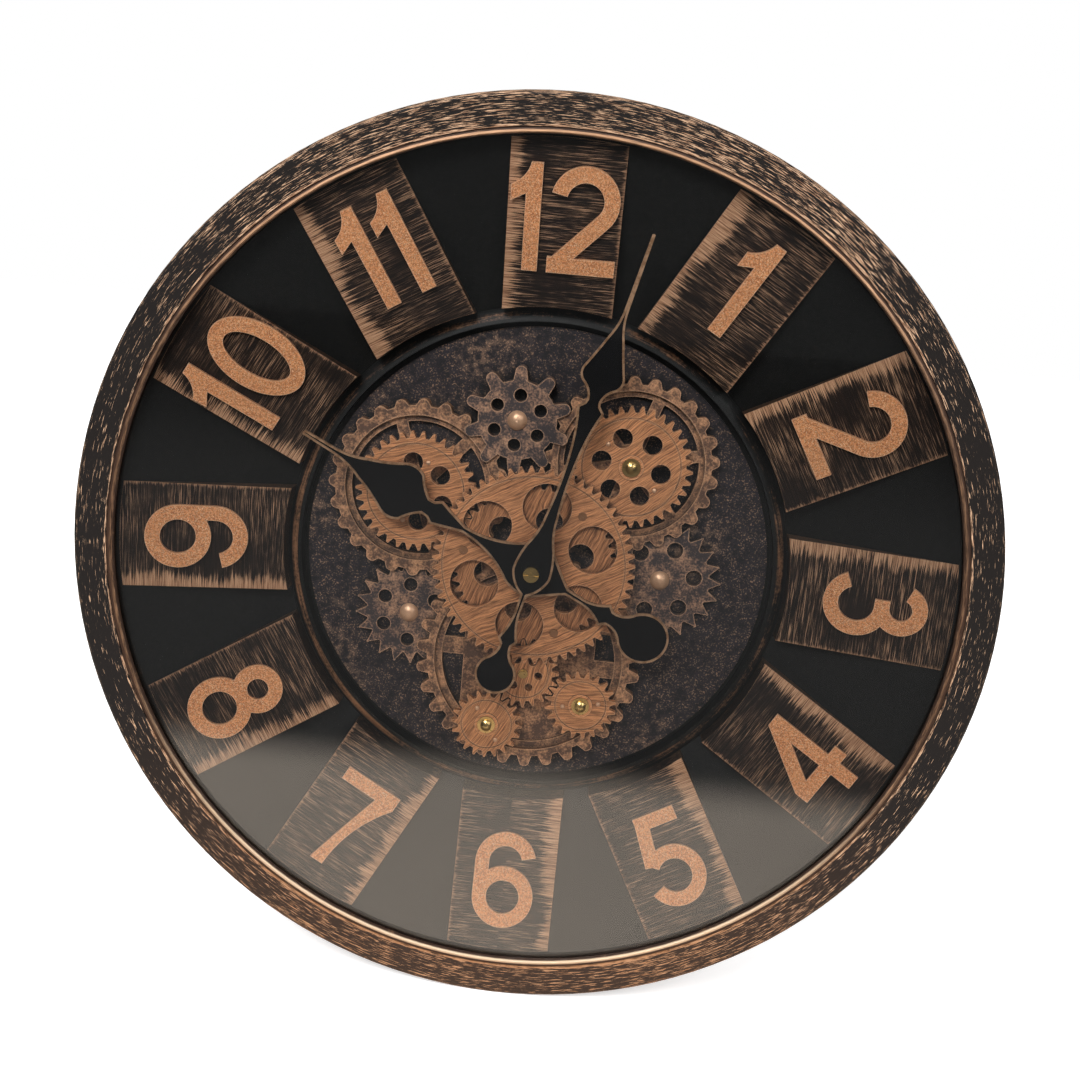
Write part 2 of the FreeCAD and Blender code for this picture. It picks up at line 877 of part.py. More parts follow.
def numerals():
    """The hours one to twelve, raised on the plates."""
    solids = []
    for hour in range(1, plate_count + 1):
        angle = hour * 360 / plate_count
        digits = [int(letter) for letter in str(hour)]
        is_upside_down = hour in upside_down_hours
        widths = [digit_stroke + one_flag_reach if digit == 1 else digit_width for digit in digits]
        left = -(sum(widths) + digit_gap * (len(digits) - 1)) / 2
        for digit, width in zip(digits, widths):
            anchor = left + width - digit_stroke / 2 if digit == 1 else left + width / 2
            solid = digit_solid(digit, digit_height).translated(V(anchor, 0, 0))
            if is_upside_down:
                solid = solid.rotated(V(0, 0, 0), V(0, 1, 0), 2 * right_angle)
            solid = sloped(solid.translated(V(0, 0, digit_reach)))
            solids.append(solid.rotated(V(0, 0, 0), V(0, 1, 0), angle))
            left += width + digit_gap
    return solids


def relief_ring(centre, outline, opening, ledge, spoke_phase):
    """A toothed relief ring with an inner ledge and flat spokes to a hub."""
    teeth, root, tip, root_half, tip_half, phase = outline
    band = prism([
        cog_wire(centre, teeth, root, tip, root_half, tip_half, tooth_crown, phase, disc_front),
        ring_wire(centre, opening, disc_front)], disc_front, ring_front)
    step = tube(centre, opening, ledge, disc_front, web_front)
    hub = disc(centre, relief_hub_radius, disc_front, web_front)

    def spoke(angle):
        """A spoke from the hub to the ledge."""
        reach = (opening + ledge) / 2
        bar = block((0, -spoke_half_width), (reach, spoke_half_width), disc_front, web_front)
        bar = bar.rotated(V(0, 0, 0), V(0, -1, 0), angle)
        return bar.translated(point(centre, 0))

    body = band.multiFuse([step, hub] + pattern(spoke_count, spoke_phase, spoke)).removeSplitter()
    return body.cut(disc(centre, post_radius, 0, case_depth))


def cog_blank(centre, outline, front):
    """The toothed outline of a relief cog as a solid."""
    teeth, root, tip, root_half, tip_half, crown, phase = outline
    wire = cog_wire(centre, teeth, root, tip, root_half, tip_half, crown, phase, disc_front)
    return prism([wire], disc_front, front)


def pierced(centre, body, holes):
    """A relief cog with its ring of round holes."""
    circle, radius, phase = holes
    return body.cut(pattern(cog_hole_count, phase, lambda angle: disc(
        around(centre, circle, angle), radius, disc_front - overrun, case_depth)))


def capped(centre, radius, back, wall, peak):
    """A round piece whose front is part of a sphere."""
    rise = peak - wall
    ball = (radius ** 2 + rise ** 2) / (2 * rise)
    turn = math.asin(radius / ball) / 2
    bend = (ball * math.sin(turn), peak - ball + ball * math.cos(turn))
    return turned((0, back), [(radius, back), (radius, wall), (bend, (0, peak))], centre)


def dome(centre, back):
    """A round cap with a short wall."""
    wall = back + dome_lift
    return capped(centre, dome_radius, back, wall, wall + dome_height)


def moving_wheel(centre, teeth, module, phase, back, front, bore, holes, slack=backlash):
    """A wooden wheel with teeth, a bore and a ring of holes."""
    count, circle, radius, hole_phase = holes
    wires = [gear_wire(centre, teeth, module, phase, back, slack)]
    if bore > 0:
        wires.append(ring_wire(centre, bore, back))
    for index in range(count):
        place = around(centre, circle, hole_phase + 360 * index / count)
        wires.append(ring_wire(place, radius, back))
    return prism(wires, back, front)


def grooved(body, centre, radius, front):
    """A wheel with a turned line in its face."""
    inner = radius - groove_width
    return body.cut(tube(centre, radius, inner, front - groove_depth, front + overrun))


def domed_nut(place, back):
    """A round nut with a domed end and a blind bore for its post."""
    peak = back + post_nut_height
    body = capped(place, post_nut_radius, back, back + post_nut_wall, peak)
    return body.cut(disc(place, post_radius, back - overrun, post_tip_depth))


def hand_steps(shares, length, half):
    """The places of a hand's whole outline, from the shares of its half outline."""
    def place(pair, side):
        """A place from a pair of shares, on one side of the hand."""
        return (side * half * pair[1], length * pair[0])

    ends = [(1, 0)] + [step[1] if isinstance(step[0], tuple) else step for step in shares]
    steps = []
    for step in shares:
        is_arc = isinstance(step[0], tuple)
        steps.append((place(step[0], 1), place(step[1], 1)) if is_arc else place(step, 1))
    for step, end in zip(reversed(shares), reversed(ends[:-1])):
        is_arc = isinstance(step[0], tuple)
        steps.append((place(step[0], -1), place(end, -1)) if is_arc else place(end, -1))
    return steps


def hand(shares, length, half, back, front, bearing, bore, boss_radius, boss_back):
    """A flat hand with a raised rim along its outline."""
    steps = hand_steps(shares, length, half)
    plate = prism([flat_wire((0, length), steps, back)], back, front)
    top = flat_wire((0, length), steps, front)
    inset = top.makeOffset2D(-hand_rim_width, 0, False, False, True)
    rim = prism([top], front, front + hand_rim_rise)
    rim = rim.cut([prism([wire], front, front + hand_rim_rise) for wire in inset.Wires])
    body = plate.multiFuse([rim, disc(axis, boss_radius, boss_back, front)])
    body = body.cut(disc(axis, bore, boss_back, front))
    return body.removeSplitter().rotated(V(0, 0, 0), V(0, 1, 0), bearing)


save("bezel_ring", bezel_ring())
save("bead_ring", bead_ring())
save("glass_lens", disc(axis, glass_radius, glass_depth, glass_depth + glass_thickness))
save("dial_body", dial_body())
save("number_plates", number_plates())
save("numerals", numerals())


def relief():
    """The fixed toothed wheels on the disc, the upper ones cut out of the lower ones."""
    left_teeth = (left_ring_teeth, left_ring_root, left_ring_tip,
                  ring_tooth_root_half, ring_tooth_tip_half, left_ring_phase)
    right_teeth = (right_ring_teeth, right_ring_root, right_ring_tip,
                   ring_tooth_root_half, ring_tooth_tip_half, right_ring_phase)
    left_ring = relief_ring(
        upper_left_place, left_teeth, left_ring_opening, left_ring_ledge, left_ring_spoke_phase)
    right_ring = relief_ring(
        upper_right_place, right_teeth, right_ring_opening, right_ring_ledge, right_ring_spoke_phase)
    bottom_outline = cog_wire(
        bottom_ring_place, bottom_ring_teeth, bottom_ring_root, bottom_ring_tip,
        bottom_tooth_root_half, bottom_tooth_tip_half, tooth_crown, bottom_ring_phase, disc_front)
    bottom_ring = prism([
        bottom_outline, ring_wire(bottom_ring_place, bottom_ring_opening, disc_front)], disc_front, ring_front)
    step = tube(bottom_ring_place, bottom_ring_opening, bottom_ring_ledge, disc_front, web_front)
    web = disc(bottom_ring_place, bottom_ring_ledge, disc_front, low_web_front)
    span = 2 * bottom_ring_opening
    inside = disc(bottom_ring_place, bottom_ring_ledge, disc_front, low_web_front)
    windows = [
        block((-span, window_left_high), (window_left, -window_left_rise), disc_front, low_web_front),
        block((-span, -span), (window_left, window_left_low), disc_front, low_web_front),
        block((window_right, window_right_high), (span, -window_right_rise), disc_front, low_web_front),
        block((window_right, -span), (span, window_right_low), disc_front, low_web_front),
    ]
    web = web.cut([window.common(inside) for window in windows])
    bottom_ring = bottom_ring.multiFuse([step, web]).removeSplitter()
    shafts = [disc(place, post_radius, 0, case_depth) for place in (lower_left_place, lower_right_place)]
    shafts.append(disc(lower_middle_place, drive_bush_radius, 0, case_depth))
    shafts.append(disc(axis, bush_foot_radius + fit_gap, 0, case_depth))
    bottom_ring = bottom_ring.cut(shafts)

    top_blank = cog_blank(top_cog_place, (
        top_cog_teeth, top_cog_root, top_cog_tip, top_tooth_root_half, top_tooth_tip_half,
        round_crown, top_cog_phase), top_cog_front)
    right_blank = cog_blank(right_cog_place, (
        right_cog_teeth, right_cog_root, right_cog_tip, sharp_tooth_root_half, sharp_tooth_tip_half,
        tooth_crown, right_cog_phase), low_cog_front)
    left_blank = cog_blank(left_cog_place, (
        left_cog_teeth, left_cog_root, left_cog_tip, sharp_tooth_root_half, sharp_tooth_tip_half,
        tooth_crown, left_cog_phase), low_cog_front)
    left_cover = cog_blank(upper_left_place, (
        left_ring_teeth, left_ring_root, left_ring_tip, ring_tooth_root_half, ring_tooth_tip_half,
        tooth_crown, left_ring_phase), ring_front)
    right_cover = cog_blank(upper_right_place, (
        right_ring_teeth, right_ring_root, right_ring_tip, ring_tooth_root_half, ring_tooth_tip_half,
        tooth_crown, right_ring_phase), ring_front)
    bottom_cover = prism([bottom_outline], disc_front, ring_front)
    save("relief_ring_left", left_ring.cut(top_blank))
    save("relief_ring_right", right_ring.cut(top_blank))
    save("relief_ring_bottom", bottom_ring)
    save("relief_cog_top", pierced(
        top_cog_place, top_blank, (top_cog_hole_circle, top_cog_hole_radius, top_cog_hole_phase)))
    right_cog = pierced(
        right_cog_place, right_blank, (right_cog_hole_circle, right_cog_hole_radius, right_cog_hole_phase))
    save("relief_cog_right", right_cog.cut([right_cover, bottom_cover]))
    left_cog = pierced(
        left_cog_place, left_blank, (left_cog_hole_circle, left_cog_hole_radius, left_cog_hole_phase))
    save("relief_cog_left", left_cog.cut([left_cover, bottom_cover]))
    save("dome_caps", [
        dome(top_cog_place, top_cog_front),
        dome(right_cog_place, low_cog_front),
        dome(left_cog_place, low_cog_front)])


def center_disc():
    """The flat disc behind the wheels, with holes for the posts, tube and screws."""
    body = disc(axis, disc_radius, disc_back, disc_front)
    holes = [disc(place, post_radius, 0, case_depth) for place in post_places]
    holes.append(disc(lower_middle_place, drive_bush_radius, 0, case_depth))
    holes.append(disc(axis, tube_radius + running_gap, 0, case_depth))
    blind = disc_front - disc_skin
    holes += [disc(place, screw_radius, 0, blind) for place in clock_lugs + gear_lugs]
    holes += pattern(disc_screw_count, disc_screw_phase, lambda angle: disc(
        around(axis, disc_screw_circle, angle), screw_radius, 0, blind))
    return body.cut(holes)


def wheels():
    """The moving wheels, placed and turned so that tooth meets gap."""
    rear_phase = rear_tooth_phase
    upper_left_phase = meshing_phase(upper_left_bearing, rear_teeth, rear_phase, upper_teeth)
    upper_right_phase = meshing_phase(upper_right_bearing, rear_teeth, rear_phase, upper_teeth)
    middle_phase = meshing_phase(lower_middle_bearing, rear_teeth, rear_phase, lower_teeth)
    left_phase = meshing_phase(lower_left_bearing, lower_teeth, middle_phase, lower_teeth)
    right_phase = meshing_phase(lower_right_bearing, lower_teeth, middle_phase, lower_teeth)
    bore = post_radius + running_gap

    front = moving_wheel(
        axis, front_teeth, front_module, front_tooth_phase, front_wheel_back, front_wheel_front, hub_radius,
        (wheel_hole_count, front_hole_circle, front_hole_radius, front_hole_phase))
    front = grooved(front, axis, front_groove_radius, front_wheel_front)
    rear = moving_wheel(
        axis, rear_teeth, gear_module, rear_phase, wheel_back, wheel_front, hub_radius,
        (wheel_hole_count, rear_hole_circle, rear_hole_radius, rear_hole_phase))
    rivet_holes = pattern(rivet_count, rivet_phase, lambda angle: disc(
        around(axis, rivet_circle, angle), rivet_radius, wheel_back - overrun, front_wheel_front + overrun))
    save("center_front_wheel", front.cut(rivet_holes))
    save("center_rear_wheel", rear.cut(rivet_holes))

    def rivet(angle):
        """A rivet with a spacer collar between the two wheels."""
        place = around(axis, rivet_circle, angle)
        shank = disc(place, rivet_radius, wheel_back - rivet_head_height, front_wheel_front)
        head = disc(place, rivet_head_radius, front_wheel_front, front_wheel_front + rivet_head_height)
        collar = disc(place, rivet_head_radius, wheel_front, front_wheel_back)
        return shank.fuse(head).fuse(collar)

    save("center_wheel_rivets", pattern(rivet_count, rivet_phase, rivet))
    hub_steps = [
        (bush_radius + running_gap, hub_front),
        (hub_radius, hub_front),
        (hub_radius, front_wheel_back),
        (hub_flange_radius, front_wheel_back),
        (hub_flange_radius, wheel_front),
        (hub_radius, wheel_front),
        (hub_radius, hub_back),
    ]
    save("center_hub", turned((bush_radius + running_gap, hub_back), hub_steps))

    upper = (
        ("upper_left_wheel", upper_left_place, upper_left_phase, upper_left_hole_phase),
        ("upper_right_wheel", upper_right_place, upper_right_phase, upper_right_hole_phase),
    )
    for name, place, phase, hole_phase in upper:
        body = moving_wheel(
            place, upper_teeth, gear_module, phase, wheel_back, wheel_front, bore,
            (wheel_hole_count, upper_hole_circle, upper_hole_radius, hole_phase))
        save(name, grooved(body, place, upper_groove_radius, wheel_front))
    lower = (
        ("lower_left_wheel", lower_left_place, left_phase),
        ("lower_right_wheel", lower_right_place, right_phase),
    )
    for name, place, phase in lower:
        body = moving_wheel(place, lower_teeth, gear_module, phase, wheel_back, wheel_front, bore, (0, 0, 0, 0))
        save(name, grooved(body, place, lower_groove_radius, wheel_front))
    body = moving_wheel(
        lower_middle_place, lower_teeth, gear_module, middle_phase, wheel_back, wheel_front,
        drive_shaft_radius, (wheel_hole_count, pinion_hole_circle, pinion_hole_half, pinion_hole_phase))
    save("drive_wheel", grooved(body, lower_middle_place, lower_groove_radius, wheel_front))


def posts():
    """The fixed posts of the four outer wheels with their spacers, washers and nuts."""
    foot_depths = [web_front, web_front, low_web_front, low_web_front]
    post_solids = []
    spacer_solids = []
    for place, foot_depth in zip(post_places, foot_depths):
        head = disc(place, post_head_radius, disc_back - post_head_height, disc_back)
        post_solids.append(disc(place, post_radius, disc_back, post_tip_depth).fuse(head))
        spacer_solids.append(tube(place, spacer_radius, post_radius, foot_depth, wheel_back - end_play))
    save("wheel_posts", post_solids)
    save("wheel_spacers", spacer_solids)
    wide_back = wheel_front + end_play
    narrow_back = wide_back + washer_thickness
    nut_back = narrow_back + washer_thickness
    save("wide_washers", [
        tube(place, wide_washer_radius, post_radius, wide_back, narrow_back) for place in post_places])
    save("narrow_washers", [
        tube(place, narrow_washer_radius, post_radius, narrow_back, nut_back) for place in post_places])
    save("wheel_nuts", [domed_nut(place, nut_back) for place in post_places])


def center_stack():
    """The bush, nut, hour wheel, arbor and hand nut on the axis of the hands."""
    bush_steps = [
        (bush_foot_radius, disc_front),
        (bush_foot_radius, hub_back - end_play),
        (bush_radius, hub_back - end_play),
        (bush_radius, nut_back),
        (tube_radius, nut_back),
    ]
    save("center_bush", turned((tube_radius, disc_front), bush_steps))
    nut_edge = nut_back + centre_nut_height - nut_bevel
    nut_steps = [
        (centre_nut_radius, nut_back),
        (centre_nut_radius, nut_edge),
        (centre_nut_radius - nut_bevel, nut_back + centre_nut_height),
        (tube_radius, nut_back + centre_nut_height),
    ]
    save("center_nut", turned((tube_radius, nut_back), nut_steps))
    save("drive_bush", tube(
        lower_middle_place, drive_bush_radius, drive_shaft_radius + running_gap,
        case_front - case_wall, wheel_back - end_play))
    shaft = disc(lower_middle_place, drive_shaft_radius, shaft_back_depth, drive_shaft_tip_depth)
    collar = disc(lower_middle_place, drive_collar_radius, wheel_front, wheel_front + washer_thickness)
    save("drive_shaft", shaft.fuse(collar))

    hour_wheel = moving_wheel(
        axis, hour_wheel_teeth, fine_module, 0, hour_wheel_back, hour_wheel_back + fine_wheel_thickness,
        0, (0, 0, 0, 0), fine_backlash)
    hour_wheel = hour_wheel.fuse(disc(axis, hour_tube_radius, hour_wheel_back, hour_hand_front))
    collar = disc(axis, hour_collar_radius, hour_wheel_back, case_front - case_wall - end_play)
    hour_wheel = hour_wheel.fuse(collar)
    hour_bore = disc(axis, arbor_radius + running_gap, 0, case_depth)
    save("hour_wheel", hour_wheel.cut(hour_bore))
    cannon_phase = meshing_phase(2 * right_angle, minute_wheel_teeth, minute_wheel_phase, cannon_teeth)
    cannon = moving_wheel(
        axis, cannon_teeth, fine_module, cannon_phase, minute_wheel_back,
        hour_wheel_back - end_play, 0, (0, 0, 0, 0), fine_backlash)
    setting = moving_wheel(
        axis, set_drive_teeth, fine_module, 0, set_wheel_back, set_wheel_back + fine_wheel_thickness,
        0, (0, 0, 0, 0), fine_backlash)
    arbor = disc(axis, arbor_radius, arbor_back_depth, arbor_tip_depth)
    save("minute_arbor", arbor.multiFuse([cannon, setting]))
    slot = block(
        (-hand_nut_radius, -hand_nut_slot / 2), (hand_nut_radius, hand_nut_slot / 2),
        minute_hand_front + hand_nut_height - hand_nut_slot_depth, case_depth)
    nut = tube(axis, hand_nut_radius, arbor_radius, minute_hand_front, minute_hand_front + hand_nut_height)
    save("hand_nut", nut.cut(slot))


def motion_work():
    """The minute wheel and the setting knob behind the dial."""
    stud = (-fine_module * (cannon_teeth + minute_wheel_teeth) / 2, 0)
    wheel = moving_wheel(
        stud, minute_wheel_teeth, fine_module, minute_wheel_phase, minute_wheel_back,
        minute_wheel_back + fine_wheel_thickness, 0, (0, 0, 0, 0), fine_backlash)
    pinion_phase = meshing_phase(2 * right_angle, hour_wheel_teeth, 0, minute_pinion_teeth)
    pinion = moving_wheel(
        stud, minute_pinion_teeth, fine_module, pinion_phase, minute_wheel_back,
        case_front - case_wall - end_play, 0, (0, 0, 0, 0), fine_backlash)
    body = wheel.fuse(pinion)
    save("minute_wheel", body.cut(disc(stud, stud_radius + running_gap, 0, case_depth)))

    knob_place = (0, fine_module * (set_drive_teeth + set_pinion_teeth) / 2)
    knob_phase = meshing_phase(right_angle, set_drive_teeth, 0, set_pinion_teeth)
    knob_pinion = moving_wheel(
        knob_place, set_pinion_teeth, fine_module, knob_phase, set_wheel_back,
        set_wheel_back + fine_wheel_thickness, 0, (0, 0, 0, 0), fine_backlash)
    stem = disc(knob_place, stem_radius, case_rear_depth - end_play, set_wheel_back)
    grip = cog_wire(
        knob_place, set_knob_lobes, set_knob_radius - knob_flute, set_knob_radius,
        knob_rib_half, knob_rib_half, knob_flute / 2, 0, knob_back_depth)
    knob = prism([grip], knob_back_depth, case_rear_depth - end_play)
    save("setting_knob", knob.multiFuse([stem, knob_pinion]))


def case_half(middle, half_height, back, front, wall_is_front):
    """One half of a movement case, open towards the other half."""
    outer = block(
        (-case_half_side, middle - half_height), (case_half_side, middle + half_height), back, front)
    rims = [edge for edge in outer.Edges if abs(edge.tangentAt(edge.FirstParameter).y) > 1 / 2]
    outer = outer.makeFillet(case_corner_radius, rims)
    low = (case_wall - case_half_side, middle - half_height + case_wall)
    high = (case_half_side - case_wall, middle + half_height - case_wall)
    hollow_back = back if wall_is_front else back + case_wall
    hollow_front = front - case_wall if wall_is_front else front
    return outer.cut(block(low, high, hollow_back, hollow_front))


def battery(drop):
    """A cell that lies across a case, with its nub to the right."""
    start = V(-battery_length / 2 - battery_nub_height / 2, -battery_axis_depth, -drop)
    body = Part.makeCylinder(battery_radius, battery_length, start, V(1, 0, 0))
    nub_start = start + V(battery_length, 0, 0)
    nub = Part.makeCylinder(battery_nub_radius, battery_nub_height, nub_start, V(1, 0, 0))
    return body.fuse(nub)


def contacts(drop):
    """The two springs at the ends of a cell."""
    end = (battery_length + battery_nub_height) / 2
    wall = case_half_side - case_wall
    low = battery_axis_depth - contact_half
    high = battery_axis_depth + contact_half
    right = block((end, -drop - contact_half), (wall, contact_half - drop), low, high)
    left = block((-wall, -drop - contact_half), (-end, contact_half - drop), low, high)
    return [left, right]


def bay(drop):
    """The opening in the back of a case for a cell."""
    half = (battery_length + battery_nub_height) / 2
    return block(
        (-half, -drop - battery_radius), (half, battery_radius - drop),
        case_rear_depth - overrun, case_rear_depth + case_wall)


def clock_movement():
    """The quartz movement: case, cell, coil and board."""
    front = case_half(0, case_half_side, case_split_depth, case_front, True)
    tube_body = disc(axis, tube_radius, case_front, tube_tip_depth)
    stud = (-fine_module * (cannon_teeth + minute_wheel_teeth) / 2, 0)
    peg = disc(stud, stud_radius, minute_wheel_back, case_front - case_wall)
    front = front.multiFuse([tube_body, peg] + [lug(place) for place in clock_lugs])
    front = front.cut([disc(axis, hour_tube_radius + running_gap, 0, case_depth)] + lug_holes(clock_lugs))
    save("movement_front_case", front)

    back = case_half(0, case_half_side, case_rear_depth, case_split_depth, False)
    knob_place = (0, fine_module * (set_drive_teeth + set_pinion_teeth) / 2)
    boss = disc(axis, bearing_boss_radius, case_rear_depth, set_wheel_back - end_play)
    stop = disc(stud, bearing_boss_radius / 2, case_rear_depth, minute_wheel_back - end_play)
    shelf = block(
        (case_wall - case_half_side, shelf_low), (case_half_side - case_wall, shelf_low + case_wall),
        case_rear_depth, case_front - case_wall)
    back = back.multiFuse([boss, stop, shelf])
    back = back.cut([
        bay(clock_battery_drop),
        disc(knob_place, stem_radius + running_gap, 0, set_wheel_back),
        disc(axis, arbor_radius + running_gap, arbor_back_depth - end_play, case_depth)])
    save("movement_back_case", back)
    save("clock_battery", battery(clock_battery_drop))
    save("clock_battery_contacts", contacts(clock_battery_drop))

    half = coil_length / 2
    start = V(-half, -coil_depth, coil_rise)
    winding = Part.makeCylinder(coil_radius, coil_length, start, V(1, 0, 0))
    cheek_back = case_rear_depth + case_wall
    cheek_front = case_front - case_wall
    cheeks = [
        block((side * half - coil_flange_thickness, coil_rise - coil_flange_half),
              (side * half + coil_flange_thickness, coil_rise + coil_flange_half), cheek_back, cheek_front)
        for side in (-1, 1)]
    save("step_coil", winding.multiFuse(cheeks))
    save("circuit_board", block(
        (board_left, board_low), (case_half_side - case_wall, board_high),
        cheek_back, cheek_back + board_thickness))


def lug(place):
    """A screw lug beside a case, against the disc."""
    inner = case_half_side - case_wall / 2
    side = 1 if place[0] > 0 else -1
    low = min(side * inner, place[0])
    high = max(side * inner, place[0])
    arm = block((low, place[1] - lug_radius), (high, place[1] + lug_radius), case_front - lug_thickness, case_front)
    return arm.fuse(disc(place, lug_radius, case_front - lug_thickness, case_front))


def lug_holes(places):
    """The screw holes of the lugs."""
    return [disc(place, screw_radius, 0, case_front) for place in places]


def gear_drive():
    """The motor case of the moving wheels: case, cell, motor and switch."""
    front = case_half(-gear_case_drop, gear_case_half_height, case_split_depth, case_front, True)
    front = front.multiFuse([lug(place) for place in gear_lugs])
    front = front.cut([disc(lower_middle_place, drive_bush_radius, 0, case_depth)] + lug_holes(gear_lugs))
    save("gear_case_front", front)
    back = case_half(-gear_case_drop, gear_case_half_height, case_rear_depth, case_split_depth, False)
    shelf = block(
        (case_wall - case_half_side, gear_shelf_low), (case_half_side - case_wall, gear_shelf_low + case_wall),
        case_rear_depth, case_front - case_wall)
    slot = block(
        (-switch_half_length, -switch_drop - switch_half_width - fit_gap),
        (switch_half_length + switch_travel + fit_gap, switch_half_width + fit_gap - switch_drop),
        case_rear_depth - overrun, case_rear_depth + case_wall)
    back = back.fuse(shelf).cut([bay(gear_battery_drop), slot])
    save("gear_case_back", back)
    save("gear_battery", battery(gear_battery_drop))
    save("gear_battery_contacts", contacts(gear_battery_drop))
    motor = disc(lower_middle_place, motor_can_radius, case_front - case_wall - motor_can_depth, case_front - case_wall)
    save("gear_motor", motor.cut(disc(lower_middle_place, drive_bush_radius, shaft_back_depth - end_play, case_depth)))
    thumb = block(
        (-switch_half_length + fit_gap, -switch_drop - switch_half_width),
        (switch_half_length, switch_half_width - switch_drop),
        case_rear_depth - switch_rise, case_rear_depth + case_wall + end_play)
    foot_back = case_rear_depth + case_wall + end_play
    foot = block(
        (-switch_foot_half_length, -switch_drop - switch_foot_half_width),
        (switch_foot_half_length, switch_foot_half_width - switch_drop),
        foot_back, foot_back + switch_foot_thickness)
    save("gear_switch", thumb.fuse(foot).removeSplitter())
    body_back = foot_back + switch_foot_thickness + end_play
    save("switch_body", block(
        (-switch_body_half_length, -switch_drop - switch_foot_half_width),
        (switch_body_half_length, switch_foot_half_width - switch_drop),
        body_back, case_front - case_wall))


def rear_parts():
    """The back panel, hanger and screws."""
    panel = tube(axis, panel_radius, panel_opening_radius, 0, panel_thickness)
    holes = []
    for angle_index in range(screw_count):
        place = around(axis, column_circle, 360 * angle_index / screw_count)
        holes.append(disc(place, screw_radius, 0, panel_thickness))
        holes.append(disc(place, screw_head_radius + fit_gap, 0, screw_head_height))
    window = block(
        (-hanger_window_half_width, hanger_height - hanger_window_half_height),
        (hanger_window_half_width, hanger_height + hanger_window_half_height), 0, panel_thickness)
    hanger_places = [(side * hanger_screw_reach, hanger_height) for side in (-1, 1)]
    holes += [disc(place, screw_radius, 0, panel_thickness) for place in hanger_places]
    holes += [disc(place, screw_head_radius + fit_gap, 0, screw_head_height) for place in hanger_places]
    save("back_panel", panel.cut(holes + [window]))
    save("back_screws", pattern(screw_count, 0, lambda angle: round_screw(
        around(axis, column_circle, angle), screw_head_height, panel_thickness + screw_length, 0)))
    plate = block(
        (-hanger_half_width, hanger_height - hanger_half_height),
        (hanger_half_width, hanger_height + hanger_half_height),
        panel_thickness, panel_thickness + hanger_thickness)
    keyhole = disc((0, hanger_height - keyhole_radius), keyhole_radius, 0, case_depth)
    neck = block(
        (-keyhole_slot_half, hanger_height - keyhole_radius),
        (keyhole_slot_half, hanger_height + keyhole_slot_rise), 0, case_depth)
    crown = disc((0, hanger_height + keyhole_slot_rise), keyhole_slot_half, 0, case_depth)
    bores = [disc(place, screw_radius, 0, case_depth) for place in hanger_places]
    save("hanger_plate", plate.cut([keyhole.fuse(neck).fuse(crown)] + bores))
    hanger_front = panel_thickness + hanger_thickness
    save("hanger_screws", [
        round_screw(place, screw_head_height, hanger_front, 0) for place in hanger_places])
    flange_back = wall_back_depth - dial_thickness
    save("dial_screws", pattern(screw_count, dial_screw_phase, lambda angle: round_screw(
        around(axis, column_circle, angle), flange_back, wall_back_depth + dial_screw_length,
        flange_back - screw_head_height)))
    save("disc_screws", pattern(disc_screw_count, disc_screw_phase, lambda angle: round_screw(
        around(axis, disc_screw_circle, angle), disc_seat_back, disc_front - disc_skin,
        disc_seat_back - screw_head_height)))
    lug_back = case_front - lug_thickness
    save("case_screws", [
        round_screw(place, lug_back, disc_front - disc_skin, lug_back - screw_head_height)
        for place in clock_lugs + gear_lugs])


relief()
save("center_disc", center_disc())
wheels()
posts()
center_stack()
motion_work()
clock_movement()
gear_drive()
rear_parts()
save("hour_hand", hand(
    hour_shares, hour_hand_length, hour_hand_half, hour_hand_back, hour_hand_front, hour_hand_bearing,
    hour_tube_radius, hour_boss_radius, hour_boss_back))
save("minute_hand", hand(
    minute_shares, minute_hand_length, minute_hand_half, minute_hand_back, minute_hand_front,
    minute_hand_bearing, arbor_radius, minute_boss_radius, minute_boss_back))
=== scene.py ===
import math

import bmesh
import bpy
from mathutils import Matrix, Vector


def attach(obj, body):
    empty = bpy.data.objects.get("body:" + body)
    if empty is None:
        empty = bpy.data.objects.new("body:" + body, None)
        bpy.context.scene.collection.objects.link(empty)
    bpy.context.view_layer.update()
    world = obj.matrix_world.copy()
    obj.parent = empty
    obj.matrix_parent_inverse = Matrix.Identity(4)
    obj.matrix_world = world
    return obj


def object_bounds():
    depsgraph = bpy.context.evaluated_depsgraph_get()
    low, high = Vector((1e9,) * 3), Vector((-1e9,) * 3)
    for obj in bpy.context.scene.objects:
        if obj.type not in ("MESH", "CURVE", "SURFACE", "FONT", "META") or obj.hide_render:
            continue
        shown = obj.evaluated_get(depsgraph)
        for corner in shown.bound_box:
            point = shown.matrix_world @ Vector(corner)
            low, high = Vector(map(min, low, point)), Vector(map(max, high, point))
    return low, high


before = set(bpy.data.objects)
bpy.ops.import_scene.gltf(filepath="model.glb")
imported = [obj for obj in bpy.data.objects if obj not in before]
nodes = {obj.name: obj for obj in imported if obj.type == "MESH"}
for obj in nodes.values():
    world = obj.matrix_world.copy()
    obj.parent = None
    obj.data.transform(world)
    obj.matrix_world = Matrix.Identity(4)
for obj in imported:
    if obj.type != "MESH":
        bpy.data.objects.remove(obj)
cad_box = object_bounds()
scene = bpy.context.scene
MM = 0.001

# Camera of the photograph, in metres, degrees and pixels, with its sensor in millimetres
CAMERA_TARGET = Vector((1.46, -18.0, 10.1)) * MM
CAMERA_DISTANCE = 754.8 * MM
CAMERA_AZIMUTH = 2.33
CAMERA_ELEVATION = 13.48
CAMERA_ROLL = 5.27
FOCAL_PIXELS = 1227.17
FRAME_PIXELS = 1080
SENSOR_WIDTH = 36.0

